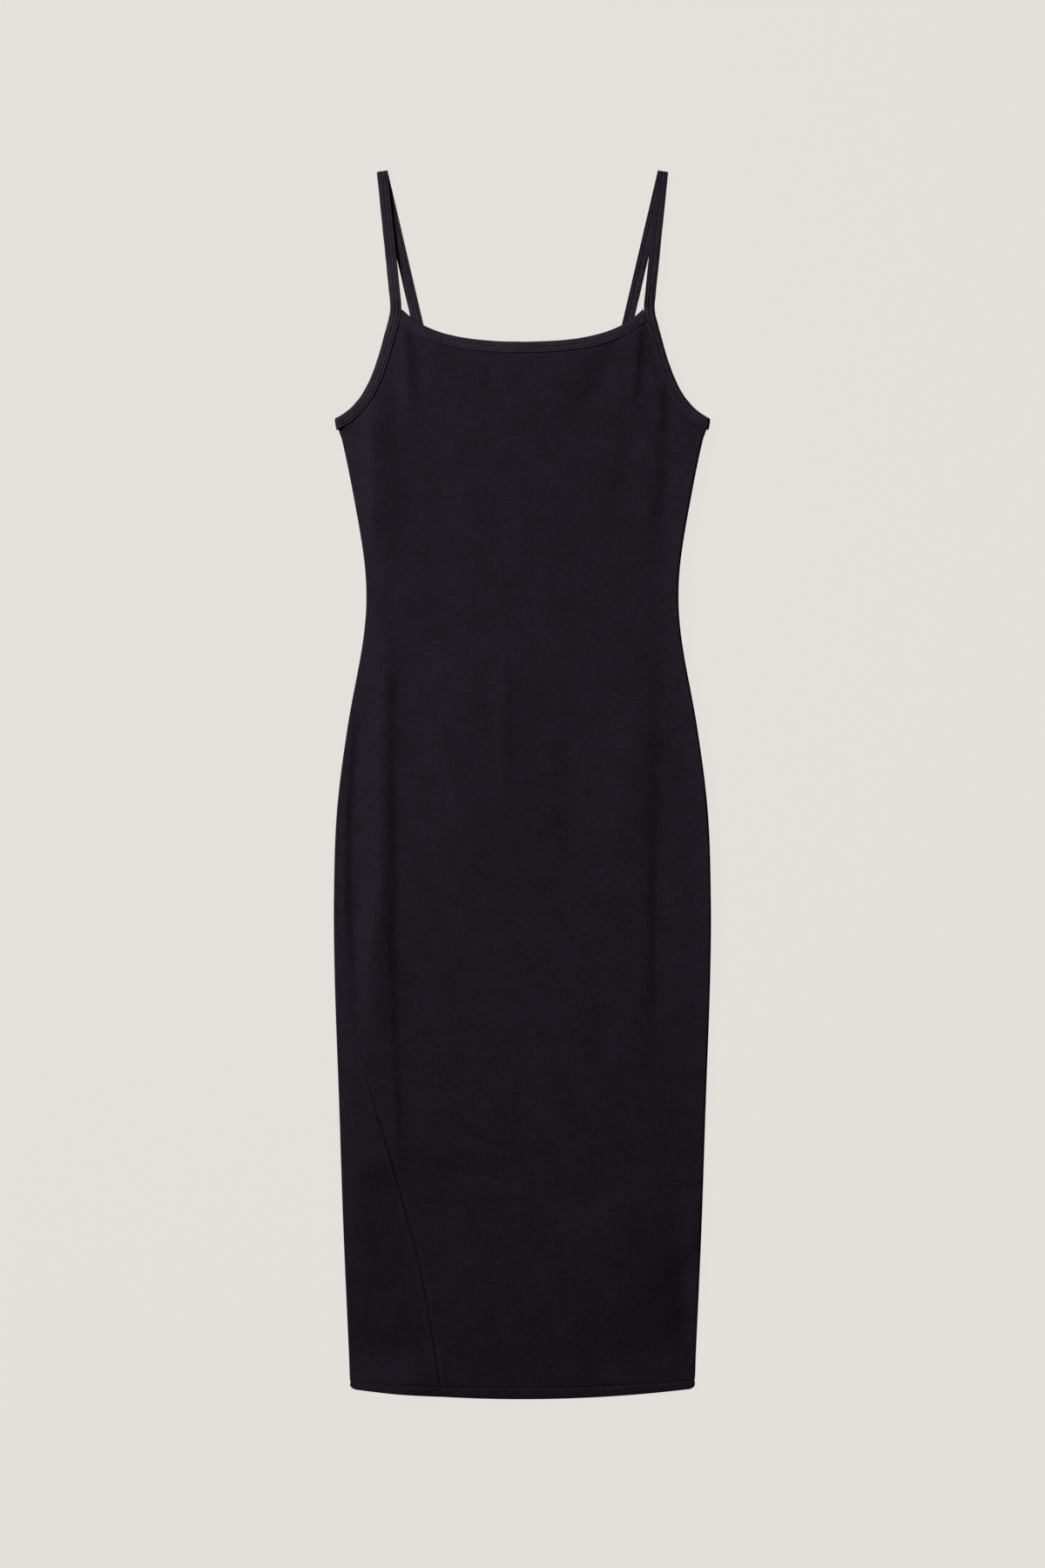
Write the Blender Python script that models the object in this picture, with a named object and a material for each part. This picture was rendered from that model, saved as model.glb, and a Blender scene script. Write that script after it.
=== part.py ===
"""Bodycon midi dress in stretch jersey, laid flat on its back.

The neck points to +Y, the front faces +Z and the back rests on z = 0. Left and right are the wearer's, so the
wearer's right lies at -X. Six pieces: two body panels, two neck bindings and two strips, each of which binds one
armhole, front and back, and runs on over the shoulder as the strap. All lengths are in metres.
"""

import math

import bmesh
import bpy
from mathutils import Vector

# Cloth, seams and folds
CLOTH = 0.0010  # wall of a panel
SEAM_GAP = 0.0003  # between pieces, and between a panel and the layer folded onto it
LAYER = CLOTH + SEAM_GAP
SIDE_FOLD = 0.0020  # radius of the middle of the cloth where the tube folds at its sides
HEM_DEPTH = 0.0104  # the hem is turned up inside by this much

# Bindings: a tape folded over the raw edge, with the panel in the slot between its two legs
TAPE_WIDTH = 0.0102
TAPE_WALL = 0.0010
TAPE_HALF = 0.00185  # half the height of a binding with a panel in it
SLOT_HALF = TAPE_HALF - TAPE_WALL
STRAP_HALF = 0.00115  # half the height where it is a bare strap
SLIT_HALF = STRAP_HALF - TAPE_WALL
EDGE_ROUND = 0.0012  # rounding of the folded edge
PANEL_INSET = 0.0028  # a panel's raw edge stops this far inside the folded edge

# Heights of the middle of the cloth over the ground
BACK_REST = CLOTH / 2
BACK_RISE = TAPE_HALF - BACK_REST  # the back is lifted inside its own bindings
FRONT_REST = BACK_REST + 2 * SIDE_FOLD
SHOULDER_FOLD = 0.0013  # radius of the middle of the strap where it turns over the shoulder

# Outline of the laid tube: level, height along Y, half width to the outside of the side fold
OUTLINE = [
    ("hem edge", -0.5902, 0.1634),
    ("hem corner", -0.5890, 0.1664),
    ("hem side", -0.5865, 0.1683),
    ("shin", -0.5572, 0.1698),
    ("calf", -0.4347, 0.1752),
    ("knee", -0.3121, 0.1794),
    ("thigh", -0.1895, 0.1837),
    ("hip", -0.1130, 0.1844),
    ("high hip", -0.0262, 0.1814),
    ("belly", 0.0556, 0.1711),
    ("below waist", 0.1373, 0.1565),
    ("waist", 0.1781, 0.1528),
    ("above waist", 0.2190, 0.1548),
    ("ribs", 0.2800, 0.1648),
    ("chest", 0.3415, 0.1793),
    ("underarm", 0.3600, 0.1829),
]

# The right side seam twists forward: level, height along Y, distance from the middle of the side fold
TWISTED_SEAM = [
    ("hem", -0.6000, 0.0910),
    ("above hem", -0.5650, 0.0872),
    ("low calf", -0.4856, 0.0773),
    ("calf", -0.4260, 0.0653),
    ("knee", -0.3470, 0.0455),
    ("low thigh", -0.2840, 0.0291),
    ("thigh", -0.1930, 0.0146),
    ("leaves the side", -0.1550, 0.0070),
    ("hip", -0.1100, 0.0040),
    ("belly", 0.0600, 0.0034),
    ("meets the side", 0.1600, 0.0000),
]

# Folds of the front: name, x and y at one end, x and y at the other, half width, height (a trough is negative)
FRONT_FOLDS = [
    ("right hip trough", -0.128, 0.110, -0.123, -0.330, 0.011, -0.0016),
    ("right hip ridge", -0.149, 0.110, -0.148, -0.190, 0.012, 0.0013),
    ("right panel hollow", -0.141, -0.400, -0.140, -0.490, 0.018, -0.0013),
    ("left hip trough", 0.130, 0.110, 0.129, -0.250, 0.012, -0.0015),
    ("left hip ridge", 0.150, 0.090, 0.150, -0.180, 0.012, 0.0012),
    ("right bust trough", -0.131, 0.400, -0.132, 0.250, 0.010, -0.0012),
    ("right bust ridge", -0.118, 0.430, -0.114, 0.330, 0.012, 0.0012),
    ("left bust trough", 0.088, 0.415, 0.034, 0.335, 0.014, -0.0014),
    ("left side trough", 0.138, 0.380, 0.131, 0.230, 0.010, -0.0012),
    ("left bust ridge", 0.110, 0.420, 0.104, 0.330, 0.011, 0.0013),
    ("left calf hollow", 0.120, -0.430, 0.155, -0.530, 0.022, -0.0014),
]

# Levels where the rows of a panel end at its side seams, from the hem up
SIDE_ROWS = [-0.5890, -0.5862, -0.575, -0.535, -0.485, -0.435, -0.380, -0.325, -0.270, -0.215, -0.165]
SIDE_ROWS += [-0.120, -0.060, 0.0, 0.055, 0.105, 0.145, 0.185, 0.225, 0.265, 0.305, 0.342]
ARMHOLE_ROWS = [0.0, 0.009, 0.018, 0.029, 0.045, 0.19, 0.36, 0.52, 0.68, 0.84, 1.0]  # shares of its length
HEM_CORNER = -0.5865  # the corners of the hem are rounded below this level
HEM_TURNS = [0, 45, 90, 135, 180]  # degrees round the fold at the hem
HEM_MIDDLE = -0.5995  # the middle of the cloth at the lowest point of the hem
HEM_BOW = 0.0098  # the hem hangs this much lower at its middle than at its sides
BODY_BOW = 0.0040
CHEST_BOW = 0.0160

# Necklines: half width between the strips, height at the corners, drop to the middle
FRONT_NECK = {"half": 0.1194, "corner": 0.4667, "drop": 0.0334}
BACK_NECK = {"half": 0.0880, "corner": 0.3990, "drop": 0.0300}

# Folded edge of a strip, as curves in (distance from the centre line, height along Y)
FRONT_ARMHOLE = [(0.1830, 0.3578), (0.1516, 0.3733), (0.1434, 0.4094), (0.1316, 0.4530)]
FRONT_CORNER = [(0.1316, 0.4530), (0.1298, 0.4597), (0.1289, 0.4640), (0.1294, 0.4710)]
BACK_ARMHOLE = [(0.1830, 0.3578), (0.1330, 0.3590), (0.1040, 0.3690), (0.0985, 0.3900)]
BACK_CORNER = [(0.0985, 0.3900), (0.0965, 0.3975), (0.0970, 0.4030), (0.0992, 0.4125)]
SHOULDER = (0.1422, 0.59603)  # folded edge where the strap turns over the shoulder
STRAP_OPENS = (0.4700, 0.4830)  # the strip thins from binding to strap between these heights
BACK_STRAP_OPENS = (0.4080, 0.4210)


def ease(value, start, end):
    """Runs smoothly from 0 at start to 1 at end."""
    t = min(1.0, max(0.0, (value - start) / (end - start)))
    return t * t * (3.0 - 2.0 * t)


def along(table, y):
    """Smooth value at y of a table of (name, y, value) rows listed from the hem up."""
    rows = [(row[1], row[2]) for row in table]
    if y <= rows[0][0]:
        return rows[0][1]
    if y >= rows[-1][0]:
        return rows[-1][1]
    i = max(k for k in range(len(rows) - 1) if rows[k][0] <= y)

    def slope(k):
        below, above = rows[max(0, k - 1)], rows[min(len(rows) - 1, k + 1)]
        return (above[1] - below[1]) / (above[0] - below[0])

    span = rows[i + 1][0] - rows[i][0]
    t = (y - rows[i][0]) / span
    start = (2 * t**3 - 3 * t**2 + 1) * rows[i][1] + (t**3 - 2 * t**2 + t) * span * slope(i)
    return start + (3 * t**2 - 2 * t**3) * rows[i + 1][1] + (t**3 - t**2) * span * slope(i + 1)


def curve(handles, steps):
    """Points of a cubic curve through the first and last of its four handles."""
    p0, p1, p2, p3 = (Vector(h) for h in handles)
    points = []
    for k in range(steps + 1):
        t = k / steps
        points.append((1 - t) ** 3 * p0 + 3 * (1 - t) ** 2 * t * p1 + 3 * (1 - t) * t**2 * p2 + t**3 * p3)
    return points


class Edge:
    """A line in the plane of the cloth, measured by its length; inset moves it to its left."""

    def __init__(self, points):
        self.points = [points[0]]
        for p in points[1:]:
            if (p - self.points[-1]).length > 1e-6:
                self.points.append(p)
        self.marks = [0.0]
        for a, b in zip(self.points, self.points[1:]):
            self.marks.append(self.marks[-1] + (b - a).length)
        self.length = self.marks[-1]

    def normal(self, k):
        a = self.points[max(0, k - 1)]
        b = self.points[min(len(self.points) - 1, k + 1)]
        run = (b - a).normalized()
        return Vector((-run.y, run.x))

    def at(self, s, inset=0.0):
        """Point at length s; before the start and past the end the line runs on straight."""
        k = 0
        while k < len(self.points) - 2 and self.marks[k + 1] < s:
            k += 1
        t = (s - self.marks[k]) / (self.marks[k + 1] - self.marks[k])
        point = self.points[k].lerp(self.points[k + 1], t)
        return point + self.normal(k).lerp(self.normal(k + 1), min(1.0, max(0.0, t))).normalized() * inset

    def distance(self, point):
        """Distance from a point to the nearest place on the line."""
        nearest = 1.0
        for a, b in zip(self.points, self.points[1:]):
            t = (point - a).dot(b - a) / (b - a).length_squared
            nearest = min(nearest, (point - a.lerp(b, min(1.0, max(0.0, t)))).length)
        return nearest

    def crossing(self, inside, inset, low, high):
        """Length between low and high where the inset line leaves the region."""
        start = inside(self.at(low, inset))
        for _ in range(40):
            middle = (low + high) / 2
            if inside(self.at(middle, inset)) == start:
                low = middle
            else:
                high = middle
        return low


def neck_shape(s):
    """Rise of a neckline from 0 at its middle to 1 at its corners."""
    s = min(1.0, abs(s))
    return 0.6 * s**2.3 + 0.4 * s**6


def neck_edge(neck):
    """Folded edge of a neck binding from the wearer's left to right, so that the cloth is on its left."""
    steps = 80
    reach = neck["half"] + TAPE_WIDTH
    points = []
    for k in range(steps + 1):
        x = reach * (1 - 2 * k / steps)
        points.append(Vector((x, neck["corner"] - neck["drop"] * (1 - neck_shape(x / neck["half"])))))
    return Edge(points)


# Folded edges of the strips, from the underarm to the shoulder, with the tape on their left
FRONT_EDGE = Edge(curve(FRONT_ARMHOLE, 40) + curve(FRONT_CORNER, 10) + [Vector(SHOULDER)])
BACK_EDGE = Edge(curve(BACK_ARMHOLE, 40) + curve(BACK_CORNER, 10) + [Vector(SHOULDER)])
BACK_NECK_EDGE = neck_edge(BACK_NECK)
FRONT_NECK_EDGE = neck_edge(FRONT_NECK)


def fold_height(x, y):
    """Height of the front's folds over its resting level."""
    total = 0.0
    for _, x0, y0, x1, y1, half_width, height in FRONT_FOLDS:
        start, end = Vector((x0, y0)), Vector((x1, y1))
        run = end - start
        t = (Vector((x, y)) - start).dot(run) / run.length_squared
        away = (Vector((x, y)) - start.lerp(end, min(1.0, max(0.0, t)))).length
        total += height * math.exp(-((away / half_width) ** 2))
    point = Vector((abs(x), y))
    from_binding = min(FRONT_EDGE.distance(point), FRONT_NECK_EDGE.distance(point))
    above_hem = ease(y, HEM_MIDDLE + 2 * HEM_DEPTH, HEM_MIDDLE + 7 * HEM_DEPTH)
    return total * above_hem * ease(from_binding, 1.6 * TAPE_WIDTH, 3.0 * TAPE_WIDTH)


def height(layer, x, y):
    """Height of the middle of the cloth: layer 1 is the front and layer -1 the back."""
    if layer < 0:
        point = Vector((abs(x), y))
        away = min(BACK_EDGE.distance(point), BACK_NECK_EDGE.distance(point))
        return BACK_REST + BACK_RISE * ease(away, 4.4 * TAPE_WIDTH, 2.4 * TAPE_WIDTH)
    over_straps = STRAP_HALF + 2 * SHOULDER_FOLD
    level = FRONT_REST + BACK_RISE * ease(y, 0.290, 0.335)
    level += fold_height(x, y)
    return level + (over_straps - level) * ease(y, 0.475, 0.590)


def flat_half(y):
    """Half width of the flat part of the tube, between its side folds."""
    return along(OUTLINE, y) - CLOTH / 2 - SIDE_FOLD


def side_seam(y):
    """Distance along the cloth from a centre line to the middle of the side fold."""
    return flat_half(y) + math.pi * SIDE_FOLD / 2


def twisted_seam(y):
    """Distance along the front from its centre line to the twisted right seam, straight through the hem."""
    return side_seam(max(y, HEM_CORNER)) - along(TWISTED_SEAM, y)


def tube(layer, across, y, lift, half):
    """Point of the laid dress. across runs along the cloth from the centre line of the front (layer 1) or of the
    back (layer -1) over the flat half width, on round the side fold and back along the other layer; lift is the
    distance out of the middle of the cloth."""
    side = math.copysign(1.0, across)
    out = abs(across) - half
    if out <= 0.0:
        return Vector((across, y, height(layer, across, y) + layer * lift))
    turn = out / SIDE_FOLD
    if turn >= math.pi:
        x = side * (half - out + math.pi * SIDE_FOLD)
        return Vector((x, y, height(-layer, x, y) - layer * lift))
    own, other = height(layer, side * half, y), height(-layer, side * half, y)
    swing = (own - other) / 2 + layer * lift
    return Vector((side * (half + (SIDE_FOLD + lift) * math.sin(turn)), y, (own + other) / 2 + swing * math.cos(turn)))


def material(name, colour, roughness):
    made = bpy.data.materials.new(name)
    made.use_nodes = True
    shader = made.node_tree.nodes["Principled BSDF"]
    shader.inputs["Base Color"].default_value = (*colour, 1.0)
    shader.inputs["Roughness"].default_value = roughness
    shader.inputs["Metallic"].default_value = 0.0
    return made


def solid(name, points, faces, cloth_material):
    """One closed body with its normals out."""
    mesh = bpy.data.meshes.new(name)
    bm = bmesh.new()
    corners = [bm.verts.new(p) for p in points]
    for face in faces:
        bm.faces.new([corners[i] for i in face])
    bmesh.ops.remove_doubles(bm, verts=bm.verts, dist=0.00001)
    bmesh.ops.recalc_face_normals(bm, faces=bm.faces)
    bm.to_mesh(mesh)
    bm.free()
    mesh.shade_smooth()
    mesh.set_sharp_from_angle(angle=math.radians(50))
    mesh.materials.append(cloth_material)
    body = bpy.data.objects.new(name, mesh)
    bpy.context.scene.collection.objects.link(body)
    return body


def wall(name, outer, inner, cloth_material):
    """Solid between two grids of points, rows of equal length, joined round their rims."""
    rows, columns = len(outer), len(outer[0])
    points = [p for row in outer for p in row] + [p for row in inner for p in row]
    below = rows * columns
    faces = []
    for j in range(rows - 1):
        for i in range(columns - 1):
            a = j * columns + i
            quad = [a, a + 1, a + columns + 1, a + columns]
            faces.append(quad)
            faces.append([k + below for k in reversed(quad)])
    rim = [(0, i) for i in range(columns)] + [(j, columns - 1) for j in range(1, rows)]
    rim += [(rows - 1, i) for i in range(columns - 2, -1, -1)] + [(j, 0) for j in range(rows - 2, 0, -1)]
    for (j0, i0), (j1, i1) in zip(rim, rim[1:] + rim[:1]):
        a, b = j0 * columns + i0, j1 * columns + i1
        faces.append([b, a, a + below, b + below])
    return solid(name, points, faces, cloth_material)


def panel_rows(armhole, neck):
    """Rows of a panel from the turned-up edge of its hem, round the hem fold, up to its neckline. Each row has the
    height where it ends, the distance across there (None on a side seam), its bow and its turn round the hem."""
    hem_end = HEM_MIDDLE + HEM_BOW
    rows = [{"y": hem_end + HEM_DEPTH, "end": None, "bow": HEM_BOW, "turn": math.pi}]
    for degrees in reversed(HEM_TURNS):
        rows.append({"y": hem_end, "end": None, "bow": HEM_BOW, "turn": math.radians(degrees)})
    for y in SIDE_ROWS:
        bow = HEM_BOW + (BODY_BOW - HEM_BOW) * ease(y, -0.58, -0.10) + (CHEST_BOW - BODY_BOW) * ease(y, 0.18, 0.345)
        rows.append({"y": y, "end": None, "bow": bow, "turn": 0.0})

    def on_cloth(point):
        return point.x <= side_seam(point.y) - SEAM_GAP / 2

    def below_neck(point):
        return point.y <= neck["corner"] - PANEL_INSET

    start = armhole.crossing(on_cloth, PANEL_INSET, -0.02, 0.03)
    stop = armhole.crossing(below_neck, PANEL_INSET, start, start + 0.2)
    for t in ARMHOLE_ROWS:
        end = armhole.at(start + (stop - start) * t, PANEL_INSET)
        bow = CHEST_BOW + (neck["drop"] - CHEST_BOW) * t
        rows.append({"y": end.y, "end": end.x, "bow": bow, "turn": 0.0, "neck": t, "ref": neck["half"]})
    return rows


def across_stops(half_length, near_end, inner):
    """Distances from the centre line to one end of a row, centre first: evenly spaced, then close near the end."""
    last_even = half_length - near_end[0]
    return [last_even * k / inner for k in range(inner)] + [half_length - gap for gap in near_end]


def row_y(row, x):
    """Height along Y of a row at x: bowed to the hem low down, and to the neckline near the top."""
    end = row["end"] if row["end"] is not None else flat_half(row["y"])
    plain = min(1.0, abs(x) / end) ** 2
    shape = plain
    if "neck" in row:
        reference = end + (row["ref"] - end) * row["neck"]
        shape = plain + (neck_shape(x / reference) - plain) * row["neck"]
    return row["y"] - row["bow"] * (1.0 - shape)


def panel_face(rows, layer, stops_of, offset):
    """One face of a panel: offset is the distance of that face out of the middle of the cloth."""
    hem_radius = LAYER / 2
    grid = []
    for row in rows:
        points = []
        for across in stops_of(row):
            half = flat_half(row["y"])
            x = across
            if row["end"] is None:
                x = min(abs(across), half, 2 * half + math.pi * SIDE_FOLD - abs(across))
            y = row_y(row, x)
            lift = -hem_radius + (hem_radius + offset) * math.cos(row["turn"])
            if row["turn"] > 0.0:
                y += hem_radius - (hem_radius + offset) * math.sin(row["turn"])
            points.append(tube(layer, across, y, lift, half))
        grid.append(points)
    return grid


def seam_end(row):
    """Distance from the centre line to a plain side seam; the turned-up hem stops short of the side fold."""
    if row["end"] is not None:
        return row["end"]
    short = math.pi * SIDE_FOLD / 2 * (1.0 - math.cos(row["turn"])) / 2
    return side_seam(row["y"]) - SEAM_GAP / 2 - short


def front_stops(row):
    """Distances across the front in one row, from its right seam (negative) to its left seam."""
    near_end = [0.0095, 0.0032, 0.0015, 0.0]
    inner = 7
    left = right = seam_end(row)
    if row["end"] is None:
        right = twisted_seam(row["y"]) - SEAM_GAP / 2
    stops = [-x for x in reversed(across_stops(right, near_end, inner)[1:])]
    return stops + across_stops(left, near_end, inner)


def back_stops(row):
    """Distances across the back in one row: on the right it wraps round the side fold as far as the twisted seam."""
    near_end = [0.0110, 0.0032, 0.0015, 0.0]
    inner = 5
    wrap_steps = [0.0015, 0.0030, 0.0050]
    insert_columns = 5
    end = row["end"] if row["end"] is not None else side_seam(row["y"]) - SEAM_GAP / 2
    past = side_seam(row["y"]) - twisted_seam(row["y"]) if row["end"] is None else 0.0
    insert = max(0.0, past - wrap_steps[-1])
    wrapped = [min(step, past) for step in wrap_steps] + [
        min(past, wrap_steps[-1]) + insert * (k + 1) / insert_columns for k in range(insert_columns)
    ]
    right = across_stops(end, near_end, inner)[1:] + [end + extra for extra in wrapped]
    return [-x for x in reversed(right)] + across_stops(seam_end(row), near_end, inner)


def panel(name, layer, rows, stops_of, cloth_material):
    outer = panel_face(rows, layer, stops_of, CLOTH / 2)
    inner = panel_face(rows, layer, stops_of, -CLOTH / 2)
    return wall(name, outer, inner, cloth_material)


def tape_profile(half, slot):
    """Section of the folded tape as (inset from the folded edge, lift): two legs and the slot between them."""
    k = EDGE_ROUND
    outside = [(TAPE_WIDTH, -half), (k, -half), (0.2 * k, -0.6 * half), (0.0, 0.0), (0.2 * k, 0.6 * half), (k, half)]
    outside.append((TAPE_WIDTH, half))
    return outside + [(TAPE_WIDTH, slot), (TAPE_WALL, slot), (TAPE_WALL, -slot), (TAPE_WIDTH, -slot)]


def tape(name, edge, stations, profile_of, place, cuts, cloth_material):
    """Folded tape along an edge. cuts holds, for its start and end, the region it stays in and where to look."""
    ease_off = 0.030  # a slanting cut shifts the sections this far along
    base = [edge.crossing(inside, 0.0, low, high) for inside, low, high in cuts]
    rings = []
    for k in range(len(stations)):
        s = base[0] + (base[1] - base[0]) * stations[k]
        ring = []
        for inset, lift in profile_of(s):
            shift = 0.0
            for (inside, low, high), at in zip(cuts, base):
                near = max(0.0, 1.0 - abs(s - at) / ease_off)
                if near > 0.0:
                    shift += near * (edge.crossing(inside, inset, low, high) - at)
            ring.append(place(edge.at(s + shift, inset), lift, s))
        rings.append(ring)
    size = len(rings[0])
    points = [p for ring in rings for p in ring]
    faces = []
    for k in range(len(rings) - 1):
        for i in range(size):
            a, b = k * size + i, k * size + (i + 1) % size
            faces.append([a, b, b + size, a + size])
    for ring in (0, len(rings) - 1):
        legs = [[0, 1, 9, 10], [1, 2, 9], [2, 3, 9], [3, 8, 9], [3, 4, 8], [4, 5, 8], [5, 6, 7, 8]]
        faces += [[ring * size + i for i in leg] for leg in legs]
    return solid(name, points, faces, cloth_material)


def neck_binding(name, layer, edge, armhole, cloth_material):
    """Binding of one neckline: its ends are cut along the inner edges of the two strips."""

    def clear_of_strips(point):
        return armhole.distance(Vector((abs(point.x), point.y))) > TAPE_WIDTH + SEAM_GAP

    def place(point, lift, s):
        return Vector((point.x, point.y, height(layer, point.x, point.y) + layer * lift))

    steps = 22
    middle = edge.length / 2
    cuts = [(clear_of_strips, middle, 0.0), (clear_of_strips, middle, edge.length)]
    stations = [k / steps for k in range(steps + 1)]
    return tape(name, edge, stations, lambda s: tape_profile(TAPE_HALF, SLOT_HALF), place, cuts, cloth_material)


def strip(name, side, cloth_material):
    """Armhole binding and strap in one: up the front armhole, over the shoulder and down the back."""
    shoulder = Vector(SHOULDER)
    up_front = (FRONT_EDGE.points[-1] - FRONT_EDGE.points[-2]).normalized()
    down_back = (BACK_EDGE.points[-2] - BACK_EDGE.points[-1]).normalized()
    fold_line = (up_front + down_back).normalized()
    over = Vector((fold_line.y, -fold_line.x))
    half_turn = math.pi * SHOULDER_FOLD

    def mirrored(point):
        """Carries a point across the shoulder fold and past the cloth that the turn takes up."""
        return point - 2 * (point - shoulder).dot(over) * over + half_turn * over

    edge = Edge(FRONT_EDGE.points + [mirrored(p) for p in reversed(BACK_EDGE.points)])

    def laid(point):
        """Returns how far a point is past the fold line, and where it lies once folded."""
        past = (point - shoulder).dot(over)
        if past <= 0.0:
            return past, point
        if past >= half_turn:
            back = point - half_turn * over
            return past, back - 2 * (back - shoulder).dot(over) * over
        return past, point - past * over

    def thinning(s):
        past, point = laid(edge.at(s))
        low, high = STRAP_OPENS if past <= 0.0 else BACK_STRAP_OPENS
        return ease(point.y, low, high) if past <= 0.0 or past >= half_turn else 1.0

    def profile_of(s):
        thin = thinning(s)
        half = TAPE_HALF + (STRAP_HALF - TAPE_HALF) * thin
        return tape_profile(half, SLOT_HALF + (SLIT_HALF - SLOT_HALF) * thin)

    def place(point, lift, s):
        past, flat = laid(point)
        if past <= 0.0:
            placed = tube(1, flat.x, flat.y, lift, flat_half(flat.y))
        elif past >= half_turn:
            placed = tube(-1, flat.x, flat.y, lift, flat_half(flat.y))
            placed.z -= (TAPE_HALF - STRAP_HALF) * thinning(s)
        else:
            turn = past / SHOULDER_FOLD
            reach = flat + (SHOULDER_FOLD + lift) * math.sin(turn) * over
            rise = STRAP_HALF + SHOULDER_FOLD + (SHOULDER_FOLD + lift) * math.cos(turn)
            placed = Vector((reach.x, reach.y, rise))
        placed.x *= side
        return placed

    def on_front(point):
        return point.x <= side_seam(point.y) - SEAM_GAP / 2

    def on_back(point):
        flat = laid(point)[1]
        return flat.x <= side_seam(flat.y) - SEAM_GAP / 2

    cuts = [(on_front, 0.08, -0.02), (on_back, edge.length - 0.06, edge.length + 0.02)]
    turn_at = FRONT_EDGE.length / edge.length
    close = 0.0062 / edge.length
    stations = [0.0, 0.0025, 0.005, 0.0075, 0.010, 0.014]
    stations += [0.014 + (turn_at - close - 0.014) * k / 18 for k in range(1, 19)]
    stations += [turn_at - close + 2 * close * k / 8 for k in range(1, 9)]
    stations += [turn_at + close + (0.986 - turn_at - close) * k / 14 for k in range(1, 15)]
    stations += [0.990, 0.994, 0.997, 1.0]
    return tape(name, edge, stations, profile_of, place, cuts, cloth_material)


def build():
    for old in list(bpy.data.objects):
        bpy.data.objects.remove(old, do_unlink=True)
    black = (0.0115, 0.0103, 0.0140)
    front_rows = panel_rows(FRONT_EDGE, FRONT_NECK)
    back_rows = panel_rows(BACK_EDGE, BACK_NECK)
    panel("front_panel", 1, front_rows, front_stops, material("front jersey", black, 0.90))
    panel("back_panel", -1, back_rows, back_stops, material("back jersey", black, 0.90))
    neck_binding("front_neck_binding", 1, FRONT_NECK_EDGE, FRONT_EDGE, material("front binding", black, 0.85))
    neck_binding("back_neck_binding", -1, BACK_NECK_EDGE, BACK_EDGE, material("back binding", black, 0.85))
    strip("left_armhole_strap", 1, material("left strip", black, 0.85))
    strip("right_armhole_strap", -1, material("right strip", black, 0.85))


build()
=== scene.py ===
import math

import bmesh
import bpy
import numpy as np
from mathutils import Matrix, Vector


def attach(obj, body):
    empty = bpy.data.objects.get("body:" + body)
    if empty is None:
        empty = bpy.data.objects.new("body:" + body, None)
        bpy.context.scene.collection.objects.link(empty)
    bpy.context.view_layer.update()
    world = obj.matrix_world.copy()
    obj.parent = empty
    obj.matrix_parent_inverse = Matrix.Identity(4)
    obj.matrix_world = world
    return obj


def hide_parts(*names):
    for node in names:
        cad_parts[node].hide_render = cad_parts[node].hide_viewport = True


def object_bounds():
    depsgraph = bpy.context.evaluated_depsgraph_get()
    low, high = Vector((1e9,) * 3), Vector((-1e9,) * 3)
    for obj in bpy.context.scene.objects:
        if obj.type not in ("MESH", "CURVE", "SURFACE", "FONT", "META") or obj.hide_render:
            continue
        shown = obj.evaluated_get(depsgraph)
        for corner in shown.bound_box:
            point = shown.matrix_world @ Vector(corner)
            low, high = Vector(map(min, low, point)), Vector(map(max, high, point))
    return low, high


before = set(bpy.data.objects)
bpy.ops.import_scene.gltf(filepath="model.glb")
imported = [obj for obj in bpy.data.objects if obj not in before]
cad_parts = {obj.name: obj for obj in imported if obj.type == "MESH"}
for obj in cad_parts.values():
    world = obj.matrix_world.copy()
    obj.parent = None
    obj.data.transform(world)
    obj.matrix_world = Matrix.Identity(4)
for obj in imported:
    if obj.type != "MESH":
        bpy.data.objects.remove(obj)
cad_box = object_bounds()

# ------------------------------------------------------------
# Front panel. The front of the dress is one length of fine stretch jersey, cut to the figure and laid slack on the
# back. It is sewn to the back down the left side and along a seam that leaves the right side at the hip and twists
# forward to the hem, and its hem is turned up once inside and stitched down. Left and right are the wearer's.

MM = 0.001
CLOTH = 1.0 * MM  # wall of the jersey with its loft
SEAM_GAP = 0.3 * MM
LAYER = CLOTH + SEAM_GAP
SIDE_FOLD = 2.0 * MM  # radius of the middle of the cloth where the tube folds at its sides
HEM_DEPTH = 10.4 * MM
HEM_RADIUS = LAYER / 2
TAPE_WIDTH = 10.6 * MM
TAPE_WALL = 1.0 * MM
TAPE_HALF = 1.85 * MM  # half the height of a binding with a panel in it
STRAP_HALF = 1.15 * MM  # half the height where it is a bare strap
PANEL_INSET = 2.8 * MM  # a panel's raw edge stops this far inside the folded edge of its binding
BACK_REST = CLOTH / 2  # height of the middle of the cloth over the ground
BACK_RISE = TAPE_HALF - BACK_REST
FRONT_REST = BACK_REST + 2 * SIDE_FOLD + BACK_RISE
CHEST_RISE = 1.6 * MM  # the front lies this much higher over the back's bindings
CHEST_RAMP = (0.140, 0.345)  # between these heights along Y
STRAP_RAMP = (0.475, 0.550)  # heights along Y between which the front comes down to the level of the strap
BACK_RAMP = (4.4 * TAPE_WIDTH, 2.4 * TAPE_WIDTH)  # the back rises to its bindings between these distances from them
SHOULDER_FOLD = 1.2 * MM  # radius of the middle of the strap where it turns over the shoulder

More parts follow.
